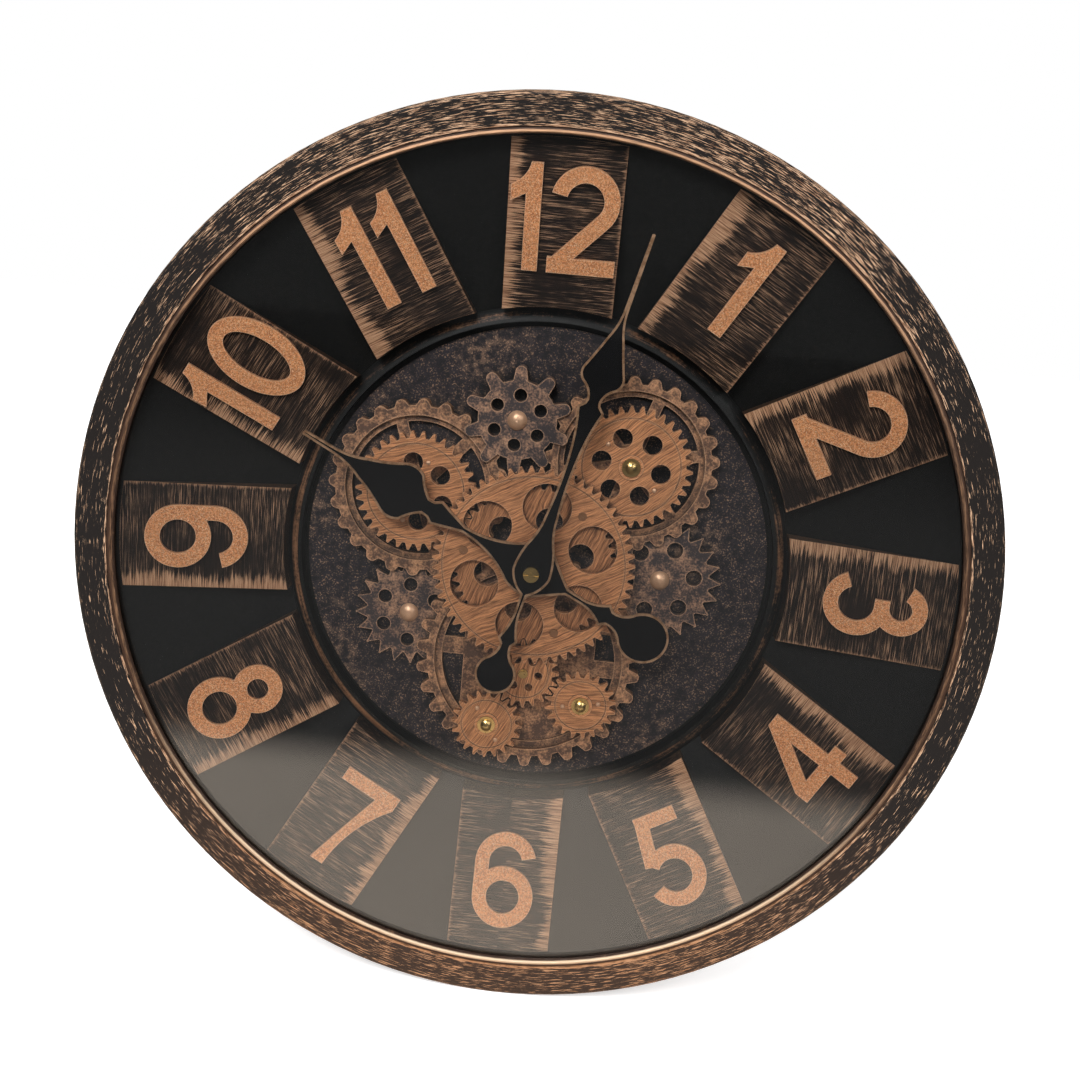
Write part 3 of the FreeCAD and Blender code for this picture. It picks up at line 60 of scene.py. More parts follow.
# Places on the clock from its box: pairs say where a mask starts and where it is full
RIM_RADIUS = cad_box[1].x
FRONT = cad_box[0].y
FLOOR_LEVEL = cad_box[0].z
BAND_INNER = RIM_RADIUS - 18.2 * MM
BAND_CROWN = (RIM_RADIUS - 2.5 * MM, RIM_RADIUS - 0.8 * MM)
BAND_INSIDE = (BAND_INNER + 1.8 * MM, BAND_INNER + 0.6 * MM)
GROOVE_RADII = (BAND_INNER + 0.6 * MM, BAND_INNER)
GROOVE_DEPTHS = (FRONT + 4.2 * MM, FRONT + 5.0 * MM)
BEAD_PEAK_RADII = (RIM_RADIUS - 19.1 * MM, RIM_RADIUS - 19.9 * MM)
BEAD_PEAK_DEPTHS = (FRONT + 6.0 * MM, FRONT + 4.6 * MM)
LIP_INSIDE = (145.2 * MM, 146.2 * MM)
LIP_OUTSIDE = (150.0 * MM, 148.4 * MM)
HAND_FACE_DROP = (0.45 * MM, 0.25 * MM)
HOUR_HAND_DEPTH = 55.5 * MM
MINUTE_HAND_DEPTH = 63.0 * MM
CELL_BAND = (11.8 * MM, 12.2 * MM)
CELL_CAP = (24.0 * MM, 24.2 * MM)

# The brushing of the number plates, from the middle line of each plate
PLATE_STEP = math.radians(30.0)
BRUSH_REACH = 25.0 * MM
BRUSH_FADE = (-2.2 * MM, 4.0 * MM)
FAR_REACH = 30.6 * MM
FAR_FADE = (-0.8 * MM, 1.2 * MM)
RAGGED_SWING = 14.0 * MM
FAR_SWING = 10.0 * MM
GRAIN_SWING = 30.0 * MM
PATCH_SWING = 20.0 * MM

# Other traits of the finishes: slopes, seeds, an index of refraction and shares of a colour
BAND_SLANT = 0.7
PLATE_SEED_STEP = 7.3
LIP_SEED = 0.3
GRAIN_SWAY = 7.5 * MM
GLASS_INDEX = 1.5
PATINA_SHARE = 0.45
STAIN_SHARE = 0.6
LIGHTER_SHARE = 1.5
LIGHTER_LIFT = 0.004

# Depths of the bumps in the paints
FINE_BUMP = 0.2 * MM
SOFT_BUMP = 0.3 * MM
ROUGH_BUMP = 0.4 * MM
STROKE_BUMP = 0.5 * MM

# Colours in linear light
WHITE = (1.0, 1.0, 1.0)
BLACK_PAINT = (0.0070, 0.0055, 0.0050)
# Painted light from below on the bottom of the bezel band
BROWN_LIT_BELOW = (0.026, 0.014, 0.0085)
BRONZE = (0.34, 0.165, 0.082)
PALE_BRONZE = (0.56, 0.34, 0.20)
DOME_BRONZE = (0.74, 0.45, 0.28)
STROKE_BRONZE = (0.17, 0.088, 0.050)
STROKE_PALE = (0.52, 0.34, 0.22)
# Painted light from below on the strokes at the bottom of the bezel band
STROKE_LIT_BELOW = (0.24, 0.112, 0.050)
BEAD_DARK = (0.040, 0.019, 0.011)
BEAD_BRIGHT = (0.44, 0.25, 0.14)
# Painted highlight on the bottom of the bead
BEAD_HIGHLIGHT_BELOW = (0.84, 0.66, 0.47)
NUMERAL_DARK = (0.48, 0.170, 0.064)
NUMERAL_LIGHT = (0.82, 0.355, 0.145)
NUMERAL_SPARK = (0.98, 0.74, 0.48)
NUMERAL_CLOUD = (0.72, 0.350, 0.160)
NUMERAL_RIM = (0.98, 0.72, 0.50)
PLATE_DARK = (0.0085, 0.0058, 0.0050)
PLATE_BROWN = (0.021, 0.012, 0.0085)
PLATE_STROKE = (0.32, 0.150, 0.078)
PLATE_STROKE_PALE = (0.60, 0.36, 0.215)
CONE_BLACK = (0.0042, 0.0045, 0.0045)
CONE_GREY = (0.0085, 0.0088, 0.0085)
DISC_DARK = (0.0085, 0.0075, 0.0095)
DISC_VIOLET = (0.024, 0.020, 0.025)
DISC_SPECK = (0.52, 0.31, 0.185)
RING_BROWN = (0.090, 0.044, 0.026)
RING_BRIGHT = (0.66, 0.345, 0.180)
COG_DARK = (0.036, 0.026, 0.027)
COG_BRIGHT = (0.56, 0.315, 0.19)
RELIEF_RIM = (0.70, 0.43, 0.26)
WOOD_LIGHT = (0.78, 0.345, 0.145)
WOOD_DARK = (0.120, 0.045, 0.018)
WOOD_RIM = (0.66, 0.40, 0.235)
HAND_BLACK = (0.0035, 0.0035, 0.0040)
HAND_RIM = (0.30, 0.16, 0.08)
BRASS_YELLOW = (0.72, 0.50, 0.20)
STEEL_GREY = (0.42, 0.42, 0.43)
COPPER_RED = (0.55, 0.22, 0.10)
LAMINATE_GREEN = (0.02, 0.10, 0.04)
MOULDED_BLACK = (0.018, 0.018, 0.019)
MOULDED_WHITE = (0.55, 0.55, 0.52)
GLASS_TINT = (0.93, 0.95, 0.94)
BOARD_DARK = (0.020, 0.018, 0.017)
BOARD_LIGHT = (0.036, 0.031, 0.028)
BOARD_FIBRE = (0.09, 0.07, 0.055)
CELL_BLACK = (0.02, 0.02, 0.022)
CELL_COPPER = (0.42, 0.20, 0.06)
CELL_SILVER = (0.6, 0.6, 0.6)
FLOOR_DARK = (0.03, 0.028, 0.027)
FLOOR_PALE = (0.90, 0.76, 0.64)
FLOOR_SEEN = (0.80, 0.80, 0.80)

# The sockets of a mix node for colours, the samples and range of the shading nodes, and the middle of noise
MIX_SHARE = 0
MIX_FIRST = 6
MIX_SECOND = 7
MIX_RESULT = 2
BEVEL_SAMPLES = 4
SHADE_SAMPLES = 8
SHADE_FROM = (0.25, 0.85)
NOISE_MEAN = 0.5


class Term:
    """An output of a node that can stand in a sum as a number does."""

    def __init__(self, tree, socket):
        self.tree = tree
        self.socket = socket

    def __add__(self, other):
        return self.tree.math("ADD", self, other)

    def __radd__(self, other):
        return self.tree.math("ADD", other, self)

    def __sub__(self, other):
        return self.tree.math("SUBTRACT", self, other)

    def __rsub__(self, other):
        return self.tree.math("SUBTRACT", other, self)

    def __mul__(self, other):
        return self.tree.math("MULTIPLY", self, other)

    def __truediv__(self, other):
        return self.tree.math("DIVIDE", self, other)

    def __neg__(self):
        return self.tree.math("MULTIPLY", self, -1.0)


class Tree:
    """The nodes of a material or of the world, with short calls."""

    def __init__(self, tree):
        self.tree = tree

    def node(self, kind, inputs=(), **settings):
        """Adds a node with its settings and inputs."""
        node = self.tree.nodes.new(kind)
        for key, value in settings.items():
            setattr(node, key, value)
        for key, value in dict(inputs).items():
            self.feed(node.inputs[key], value)
        return node

    def add(self, kind, inputs=(), output=0, **settings):
        """Adds a node and returns one of its outputs."""
        return Term(self, self.node(kind, inputs, **settings).outputs[output])

    def feed(self, socket, value):
        """Links a term to an input, or sets the value of the input."""
        if isinstance(value, Term):
            self.tree.links.new(value.socket, socket)
        elif isinstance(value, tuple) and socket.type == "RGBA":
            socket.default_value = (*value, 1.0)
        else:
            socket.default_value = value

    def math(self, operation, *values, clamp=False):
        return self.add("ShaderNodeMath", enumerate(values), operation=operation, use_clamp=clamp)

    def vector(self, x, y, z):
        return self.add("ShaderNodeCombineXYZ", {0: x, 1: y, 2: z})

    def axes(self, vector):
        """The three parts of a vector."""
        return [Term(self, part) for part in self.node("ShaderNodeSeparateXYZ", {0: vector}).outputs]

    def noise(self, vector, scale, detail=3.0, roughness=0.6):
        return self.add("ShaderNodeTexNoise", {
            "Vector": vector, "Scale": scale, "Detail": detail, "Roughness": roughness})

    def stretched(self, *courses, detail=3.0, roughness=0.6):
        """Noise that has its own scale along each of three courses."""
        vector = self.vector(*(course * scale for course, scale in courses))
        return self.noise(vector, scale=1.0, detail=detail, roughness=roughness)

    def scaled(self, value, low, high, first=0.0, last=1.0, interpolation="LINEAR"):
        """A number that runs from first to last while a value runs from low to high."""
        return self.add("ShaderNodeMapRange", {
            "Value": value, "From Min": low, "From Max": high, "To Min": first, "To Max": last},
            interpolation_type=interpolation)

    def ramp(self, value, low, high):
        """A soft step from 0 at low to 1 at high."""
        return self.scaled(value, low, high, interpolation="SMOOTHSTEP")

    def between(self, mask, off, full):
        """A number that is off where a mask is 0 and full where it is 1."""
        return off + mask * (full - off)

    def blend(self, share, first, second):
        """A mix of two colours."""
        return self.add("ShaderNodeMix", {
            MIX_SHARE: share, MIX_FIRST: first, MIX_SECOND: second}, MIX_RESULT, data_type="RGBA")

    def place(self):
        """The place on the part in metres."""
        return self.add("ShaderNodeTexCoord", output="Object")

    def around(self):
        """The radius, cosine and sine of the angle about the axis of the clock, and the depth."""
        x, y, z = self.axes(self.place())
        radius = self.math("SQRT", x * x + z * z)
        safe = self.math("MAXIMUM", radius, 0.1 * MM)
        return radius, x / safe, z / safe, y

    def edges(self, reach, low, high):
        """1 along the edges of the solid and 0 on its faces."""
        rounded = self.add("ShaderNodeBevel", {"Radius": reach}, samples=BEVEL_SAMPLES)
        normal = self.add("ShaderNodeNewGeometry", output="Normal")
        same = self.add("ShaderNodeVectorMath", {0: rounded, 1: normal}, "Value", operation="DOT_PRODUCT")
        return self.ramp(1.0 - same, low, high)

    def painted_recess_shade(self, tone, reach, depth):
        """A colour darkened in grooves, gaps and corners: painted shade."""
        open_sky = self.add("ShaderNodeAmbientOcclusion", {"Distance": reach}, "AO", samples=SHADE_SAMPLES)
        shade = self.between(self.ramp(open_sky, *SHADE_FROM), 1.0 - depth, 1.0)
        return self.add(
            "ShaderNodeVectorMath", {0: tone, 1: self.vector(shade, shade, shade)}, operation="MULTIPLY")


class Paint(Tree):
    """A material."""

    def __init__(self, name):
        self.material = bpy.data.materials.new(name)
        self.material.use_nodes = True
        super().__init__(self.material.node_tree)
        self.shader = self.tree.nodes["Principled BSDF"]

    def set(self, **values):
        """Sets inputs of the shader by their names with underscores."""
        for key, value in values.items():
            self.feed(self.shader.inputs[key.replace("_", " ")], value)

    def bump(self, height, strength, distance):
        self.set(Normal=self.add("ShaderNodeBump", {
            "Height": height, "Strength": strength, "Distance": distance}))


def streaked_ring():
    """Black paint with bronze brushed round it in dense fine strokes, with painted light: paler and browner
    at the bottom, more strokes at the top as a painted highlight, fewer at the left and right as painted
    shade.
    """
    p = Paint("bezel_paint")
    radius, cosine, sine, y = p.around()
    course = radius + y * BAND_SLANT
    strokes = p.stretched((cosine, 24.0), (sine, 24.0), (course, 2500.0))
    hairs = p.stretched((cosine, 42.0), (sine, 42.0), (course, 3600.0))
    patches = p.stretched((cosine, 7.0), (sine, 7.0), (radius, 60.0), roughness=0.5)
    groove = p.ramp(radius, *GROOVE_RADII) * p.ramp(y, *GROOVE_DEPTHS)
    # Painted light from below: the bottom of the band turns browner and its strokes paler.
    painted_light_below = p.ramp(-sine, 0.35, 0.95)
    # Painted highlight: more bronze strokes at the top of the band.
    painted_highlight_above = p.ramp(sine, 0.35, 0.95)
    # Painted shade: fewer bronze strokes at the left and right of the band.
    painted_shade_sides = p.ramp(p.math("ABSOLUTE", cosine), 0.55, 0.95)
    amount = p.ramp(radius, *BAND_CROWN) * 0.035 + p.ramp(radius, *BAND_INSIDE) * 0.10
    amount = amount + (patches - NOISE_MEAN) * 0.13 + painted_light_below * 0.015 + painted_highlight_above * 0.025 - painted_shade_sides * 0.035
    level = strokes * 0.62 + hairs * 0.38
    mask = p.ramp(level + amount, 0.545, 0.605) * (1.0 - groove)
    body = p.blend(painted_light_below * 0.8, BLACK_PAINT, BROWN_LIT_BELOW)
    stroke = p.blend(p.ramp(hairs, 0.44, 0.64), STROKE_BRONZE, STROKE_PALE)
    stroke = p.blend(painted_light_below * 0.75, stroke, STROKE_LIT_BELOW)
    p.set(Base_Color=p.blend(mask, body, stroke), Metallic=mask * 0.25)
    p.set(Roughness=p.between(mask, 0.62, 0.50), Specular_IOR_Level=0.14)
    p.bump(level, strength=0.45, distance=STROKE_BUMP)
    return p.material


def bead_finish():
    """Bronze bead, rubbed pale along its peak and darker on its flanks, with painted shade at its left and
    right and a painted highlight at its bottom.
    """
    p = Paint("bead_finish")
    radius, cosine, sine, y = p.around()
    brush = p.stretched((cosine, 24.0), (sine, 24.0), (radius, 2600.0), detail=4.0, roughness=0.65)
    side = p.ramp(p.math("ABSOLUTE", cosine), 0.60, 0.95)
    painted_light_below = p.ramp(-sine, 0.30, 0.90)
    # Painted shade: the pale peak is dimmed at the left and right of the ring.
    peak = p.ramp(radius, *BEAD_PEAK_RADII) * p.ramp(y, *BEAD_PEAK_DEPTHS) * p.between(side, 1.0, 0.45)
    level = p.math("ADD", peak, (brush - 0.60) * 2.4, clamp=True)
    tone = p.blend(level, BEAD_DARK, BEAD_BRIGHT)
    # Painted highlight: the peak turns paler towards the bottom of the ring.
    tone = p.blend(painted_light_below * peak * 0.7, tone, BEAD_HIGHLIGHT_BELOW)
    p.set(Base_Color=tone, Metallic=0.45, Roughness=p.between(level, 0.50, 0.38))
    p.bump(brush, strength=0.25, distance=SOFT_BUMP)
    return p.material


def smooth_bronze(name, colour, rough=0.38, grain=700.0, wear=0.5):
    """Bronze paint with slight speckle and darker patches."""
    p = Paint(name)
    spot = p.place()
    speckle = p.noise(spot, scale=grain)
    patches = p.noise(spot, scale=38.0)
    dark = tuple(channel * PATINA_SHARE for channel in colour)
    tone = p.blend(p.ramp(patches, 0.62, 0.36) * wear, colour, dark)
    tone = p.blend(p.ramp(speckle, 0.55, 0.75) * 0.35, tone, PALE_BRONZE)
    p.set(Base_Color=tone, Metallic=0.55, Roughness=p.between(speckle, rough, rough + 0.2))
    p.bump(speckle, strength=0.25, distance=SOFT_BUMP)
    return p.material


def numeral_finish():
    """Hammered gold bronze with fine speckle and a rubbed edge."""
    p = Paint("numeral_finish")
    spot = p.place()
    grain = p.noise(spot, scale=900.0, detail=2.0)
    fine = p.noise(spot, scale=1900.0, detail=1.0, roughness=0.5)
    cloud = p.noise(spot, scale=60.0, detail=2.0, roughness=0.5)
    rim = p.edges(reach=0.9 * MM, low=0.03, high=0.22)
    tone = p.blend(p.ramp(grain, 0.38, 0.62), NUMERAL_DARK, NUMERAL_LIGHT)
    tone = p.blend(p.ramp(fine, 0.57, 0.64) * 0.75, tone, NUMERAL_SPARK)
    tone = p.blend(p.ramp(cloud, 0.35, 0.65) * 0.20, tone, NUMERAL_CLOUD)
    tone = p.blend(rim * 0.70, tone, NUMERAL_RIM)
    p.set(Base_Color=tone, Metallic=0.30, Roughness=0.50, Specular_IOR_Level=0.4)
    p.bump(grain, strength=0.35, distance=ROUGH_BUMP)
    return p.material


def plate_finish():
    """Black-brown boards with fine grain across each plate and bronze brushed in from one side."""
    p = Paint("plate_finish")
    radius, cosine, sine, y = p.around()
    angle = p.math("ARCTAN2", cosine, sine)
    index = p.math("ROUND", angle / PLATE_STEP)
    turn = angle - index * PLATE_STEP
    across = radius * p.math("SINE", turn)
    outward = radius * p.math("COSINE", turn)
    seed = index * PLATE_SEED_STEP
    grain = p.stretched(
        (across, 60.0), (outward, 2100.0), (seed + y * 900.0, 1.0), detail=4.0, roughness=0.62)
    ragged = p.stretched((across, 22.0), (outward, 900.0), (seed, 1.0), detail=4.0, roughness=0.65)
    patch = p.stretched((across, 34.0), (outward, 34.0), (seed, 1.0))
    reach = BRUSH_REACH + (NOISE_MEAN - ragged) * RAGGED_SWING
    reach = reach + (NOISE_MEAN - grain) * GRAIN_SWING + (NOISE_MEAN - patch) * PATCH_SWING
    brushed = p.ramp(-across - reach, *BRUSH_FADE)
    far_reach = FAR_REACH + (NOISE_MEAN - ragged) * FAR_SWING
    far_side = p.ramp(across - far_reach, *FAR_FADE) * 0.7
    edge = p.edges(reach=0.6 * MM, low=0.03, high=0.25) * 0.75
    lines = p.ramp(grain, 0.50, 0.68) * p.ramp(patch, 0.34, 0.60) * 0.75
    mask = p.math("MAXIMUM", p.math("MAXIMUM", brushed, far_side), p.math("MAXIMUM", edge, lines))
    mask = mask * p.between(p.ramp(grain, 0.30, 0.60), 0.55, 1.0)
    facing = p.axes(p.add("ShaderNodeNewGeometry", output="Normal"))[1]
    mask = mask * p.between(p.ramp(-facing, 0.60, 0.90), 0.12, 1.0)
    tone = p.blend(p.ramp(grain, 0.36, 0.68), PLATE_DARK, PLATE_BROWN)
    stroke = p.blend(p.ramp(grain, 0.35, 0.65), PLATE_STROKE, PLATE_STROKE_PALE)
    p.set(Base_Color=p.blend(mask, tone, stroke), Metallic=mask * 0.15)
    p.set(Roughness=0.55, Specular_IOR_Level=0.16)
    p.bump(grain, strength=0.45, distance=ROUGH_BUMP)
    return p.material


def dial_finish():
    """Satin near-black cone with bronze brushed over the rounded lip."""
    p = Paint("dial_finish")
    radius, cosine, sine, _ = p.around()
    brush = p.stretched((cosine, 6.0), (sine, 6.0), (radius, 1500.0), detail=5.0, roughness=0.7)
    speckle = p.noise(p.place(), scale=420.0, roughness=0.7)
    patches = p.noise(p.vector(cosine, sine, LIP_SEED), scale=2.2)
    lip = p.ramp(radius, *LIP_INSIDE) * p.ramp(radius, *LIP_OUTSIDE)
    left_side = p.ramp(-cosine - sine * 0.5, 0.1, 0.9)
    level = brush * 0.5 + (patches * 0.5 + left_side * 0.10) + speckle * 0.25
    mask = p.ramp(level, 0.62, 0.82) * lip
    grey = p.blend(p.ramp(speckle, 0.3, 0.8), CONE_BLACK, CONE_GREY)
    p.set(Base_Color=p.blend(mask, grey, BRONZE), Metallic=mask * 0.4)
    p.set(Roughness=p.between(speckle, 0.46, 0.50), Specular_IOR_Level=0.20)
    return p.material


def disc_finish():
    """Dark violet-grey disc with fine bronze specks and brushed patches."""
    p = Paint("disc_finish")
    spot = p.place()
    speck = p.noise(spot, scale=1050.0, detail=2.0, roughness=0.5)
    mid = p.noise(spot, scale=160.0, detail=4.0, roughness=0.7)
    patch = p.noise(spot, scale=16.0)
    specks = p.ramp(speck, 0.55, 0.66) * p.ramp(mid, 0.36, 0.64)
    worn = p.ramp(patch, 0.50, 0.72) * p.ramp(mid, 0.45, 0.62)
    mask = p.math("ADD", specks * 0.52, worn * 0.34, clamp=True)
    tone = p.blend(p.ramp(mid, 0.3, 0.7), DISC_DARK, DISC_VIOLET)
    # Painted shade: the disc darkens round and under the wheels and posts.
    tone = p.painted_recess_shade(p.blend(mask, tone, DISC_SPECK), reach=10.0 * MM, depth=0.70)
    p.set(Base_Color=tone, Metallic=mask * 0.3, Roughness=0.55, Specular_IOR_Level=0.3)
    p.bump(speck, strength=0.35, distance=ROUGH_BUMP)
    return p.material


def relief_finish(name, dark, bright, edge_strength, cover):
    """Aged relief wheels: dark in the flats, bronze on edges and brushed patches."""
    p = Paint(name)
    spot = p.place()
    speck = p.noise(spot, scale=800.0, detail=2.0, roughness=0.5)
    mid = p.noise(spot, scale=120.0, detail=4.0, roughness=0.7)
    rim = p.edges(reach=1.3 * MM, low=0.02, high=0.20)
    mask = p.ramp(mid * 0.7 + speck * 0.35 + rim * edge_strength, cover, cover + 0.28)
    tone = p.blend(rim * p.ramp(speck, 0.30, 0.60), p.blend(mask, dark, bright), RELIEF_RIM)
    # Painted shade darkens the hollows between the relief teeth.
    p.set(Base_Color=p.painted_recess_shade(tone, reach=6.0 * MM, depth=0.90), Metallic=mask * 0.35)
    p.set(Roughness=p.between(mask, 0.6, 0.45))
    p.bump(speck + mid, strength=0.4, distance=ROUGH_BUMP)
    return p.material


def wheel_wood(name, grain_angle, tone_shift=0.0):
    """Stained wood with grain in one direction, paler at its edges."""
    p = Paint(name)
    x, y, z = p.axes(p.place())
    turn = math.radians(grain_angle)
    along = x * math.cos(turn) + z * math.sin(turn)
    across = z * math.cos(turn) - x * math.sin(turn)
    sway = p.stretched((along, 38.0), (across, 70.0), (0.0, 1.0), detail=2.0, roughness=0.5)
    across = across + sway * GRAIN_SWAY
    grain = p.stretched((along, 40.0), (across, 1150.0), (y, 400.0), detail=4.0)
    fibres = p.stretched((along, 150.0), (across, 2400.0), (y, 900.0))
    rim = p.edges(reach=1.1 * MM, low=0.03, high=0.22)
    level = grain * 0.62 + fibres * 0.42 + tone_shift
    tone = p.blend(p.ramp(level, 0.34, 0.70), WOOD_DARK, WOOD_LIGHT)
    tone = p.blend(rim * 0.75, tone, WOOD_RIM)
    # Painted shade darkens the grooves, holes and gaps round each wheel.
    p.set(Base_Color=p.painted_recess_shade(tone, reach=4.5 * MM, depth=0.85), Roughness=0.5, Metallic=0.12)
    p.bump(grain, strength=0.45, distance=ROUGH_BUMP)
    return p.material


def hand_finish(name, face_depth):
    """Satin black hand with its raised rim rubbed to pale bronze."""
    p = Paint(name)
    spot = p.place()
    y = p.axes(spot)[1]
    facing = p.axes(p.add("ShaderNodeTexCoord", output="Normal"))[1]
    sunken = p.ramp(y, *(-face_depth - drop for drop in HAND_FACE_DROP))
    black = sunken * p.ramp(-facing, 0.5, 0.9)
    rubbed = p.noise(spot, scale=240.0, detail=4.0, roughness=0.65)
    rim = p.blend(p.ramp(rubbed, 0.35, 0.62), HAND_RIM, PALE_BRONZE)
    p.set(Base_Color=p.blend(black, rim, HAND_BLACK), Specular_IOR_Level=p.between(black, 0.5, 0.10))
    p.set(Metallic=p.between(black, 0.6, 0.0), Roughness=p.between(black, 0.32, 0.52))
    p.bump(rubbed, strength=0.1, distance=FINE_BUMP)
    return p.material


def metal(name, colour, rough):
    """Turned or stamped metal with fine marks."""
    p = Paint(name)
    spot = p.place()
    marks = p.noise(spot, scale=900.0)
    stain = p.noise(spot, scale=90.0)
    dark = tuple(channel * STAIN_SHARE for channel in colour)
    p.set(Base_Color=p.blend(p.ramp(stain, 0.6, 0.35) * 0.6, colour, dark))
    p.set(Metallic=1.0, Roughness=p.between(marks, rough, rough + 0.15))
    p.bump(marks, strength=0.12, distance=FINE_BUMP)
    return p.material


def moulded(name, colour, rough=0.5):
    """Moulded plastic with a fine spark-eroded texture."""
    p = Paint(name)
    spot = p.place()
    grain = p.noise(spot, scale=1500.0, detail=2.0, roughness=0.5)
    soft = p.noise(spot, scale=30.0, detail=2.0, roughness=0.5)
    lighter = tuple(channel * LIGHTER_SHARE + LIGHTER_LIFT for channel in colour)
    p.set(Base_Color=p.blend(p.ramp(soft, 0.3, 0.7), colour, lighter))
    p.set(Roughness=p.between(grain, rough, rough + 0.15))
    p.bump(grain, strength=0.2, distance=FINE_BUMP)
    return p.material


def glass_finish():
    """Clear glass that mirrors as much as its angle gives, with the faintest smears."""
    p = Paint("glass_finish")
    smear = p.noise(p.place(), scale=9.0)
    mirror = p.add("ShaderNodeFresnel", {"IOR": GLASS_INDEX})
    p.set(Base_Color=GLASS_TINT, Metallic=1.0, Alpha=mirror * p.between(smear, 0.85, 1.05))
    p.set(Roughness=p.between(smear, 0.02, 0.07))
    return p.material


def board_finish():
    """Painted fibre board of the back."""
    p = Paint("board_finish")
    spot = p.place()
    fibre = p.noise(spot, scale=520.0, detail=4.0, roughness=0.7)
    cloud = p.noise(spot, scale=12.0)
    tone = p.blend(p.ramp(cloud, 0.3, 0.7), BOARD_DARK, BOARD_LIGHT)
    tone = p.blend(p.ramp(fibre, 0.55, 0.8) * 0.3, tone, BOARD_FIBRE)
    p.set(Base_Color=tone, Roughness=0.75)
    p.bump(fibre, strength=0.3, distance=SOFT_BUMP)
    return p.material


def cell_finish():
    """Battery sleeve with a copper top band and a bare cap."""
    p = Paint("cell_finish")
    spot = p.place()
    x = p.axes(spot)[0]
    band = p.ramp(x, *CELL_BAND)
    grain = p.noise(spot, scale=700.0, detail=2.0, roughness=0.5)
    tone = p.blend(p.ramp(x, *CELL_CAP), p.blend(band, CELL_BLACK, CELL_COPPER), CELL_SILVER)
    p.set(Base_Color=tone, Metallic=band * 0.8, Roughness=p.between(grain, 0.28, 0.38))
    return p.material


pale_bronze = smooth_bronze("pale_bronze", DOME_BRONZE, rough=0.30, grain=900.0, wear=0.25)
bronze_paint = smooth_bronze("bronze_paint", BRONZE)
brass = metal("brass", BRASS_YELLOW, rough=0.22)
steel = metal("steel", STEEL_GREY, rough=0.35)
black_plastic = moulded("black_plastic", MOULDED_BLACK)
white_plastic = moulded("white_plastic", MOULDED_WHITE)
ring_finish = relief_finish("relief_ring_finish", RING_BROWN, RING_BRIGHT, edge_strength=0.40, cover=0.44)
cog_finish = relief_finish("relief_cog_finish", COG_DARK, COG_BRIGHT, edge_strength=0.50, cover=0.46)

finishes = {
    "bezel_ring": streaked_ring(),
    "bead_ring": bead_finish(),
    "glass_lens": glass_finish(),
    "dial_body": dial_finish(),
    "number_plates": plate_finish(),
    "numerals": numeral_finish(),
    "center_disc": disc_finish(),
    "relief_ring_left": ring_finish,
    "relief_ring_right": ring_finish,
    "relief_ring_bottom": ring_finish,
    "relief_cog_top": cog_finish,
    "relief_cog_right": cog_finish,
    "relief_cog_left": cog_finish,
    "dome_caps": pale_bronze,
    "center_front_wheel": wheel_wood("center_front_wood", grain_angle=28.0),
    "center_rear_wheel": wheel_wood("center_rear_wood", grain_angle=70.0, tone_shift=-0.04),
    "upper_left_wheel": wheel_wood("upper_left_wood", grain_angle=15.0),
    "upper_right_wheel": wheel_wood("upper_right_wood", grain_angle=40.0),
    "lower_left_wheel": wheel_wood("lower_left_wood", grain_angle=60.0),
    "lower_right_wheel": wheel_wood("lower_right_wood", grain_angle=5.0),
    "drive_wheel": wheel_wood("drive_wood", grain_angle=80.0),
    "wide_washers": wheel_wood("washer_wood", grain_angle=30.0, tone_shift=0.05),
    "narrow_washers": brass,
    "wheel_nuts": brass,
    "wheel_posts": brass,
    "wheel_spacers": pale_bronze,
    "center_hub": bronze_paint,
    "center_wheel_rivets": bronze_paint,
    "center_bush": brass,
    "center_nut": pale_bronze,
    "hand_nut": brass,
    "minute_arbor": brass,
    "hour_wheel": brass,
    "drive_bush": brass,
    "drive_shaft": brass,
    "hour_hand": hand_finish("hour_hand_finish", HOUR_HAND_DEPTH),
    "minute_hand": hand_finish("minute_hand_finish", MINUTE_HAND_DEPTH),
    "minute_wheel": white_plastic,
    "setting_knob": white_plastic,
    "gear_switch": white_plastic,
    "clock_battery": cell_finish(),
    "gear_battery": cell_finish(),
    "gear_motor": steel,
    "step_coil": metal("copper_wire", COPPER_RED, rough=0.4),
    "circuit_board": moulded("laminate", LAMINATE_GREEN),
    "back_panel": board_finish(),
}
for node, piece in nodes.items():
    is_steel = "screw" in node or "contact" in node or "hanger" in node
    piece.data.materials.clear()
    piece.data.materials.append(finishes.get(node, steel if is_steel else black_plastic))

# Small rivet heads, two on the face of each outer wheel: its body, the angle of the first and their distance
RIVET_RADIUS = 1.5 * MM
RIVET_HEIGHT = 0.8 * MM
RIVET_SIDES = 16
RIVET_RINGS = 4
RIVETED_WHEELS = {
    "upper_left_wheel": ("upper_left_set", 70, 19.0 * MM),
    "upper_right_wheel": ("upper_right_set", 140, 19.3 * MM),
    "lower_left_wheel": ("lower_left_set", 123, 11.7 * MM),
    "lower_right_wheel": ("lower_right_set", 10, 11.0 * MM),
}


def wheel_front(wheel):
    """The middle of the front face of a wheel."""
    corners = [nodes[wheel].matrix_world @ Vector(corner) for corner in nodes[wheel].bound_box]
    low, high = (Vector(end(corner[axis] for corner in corners) for axis in range(3)) for end in (min, max))
    return Vector(((low.x + high.x) / 2, low.y, (low.z + high.z) / 2))


def offset(radius, height, turn):
    """A step of a radius at an angle, and of a height towards the front."""
    return Vector((radius * math.cos(turn), -height, radius * math.sin(turn)))


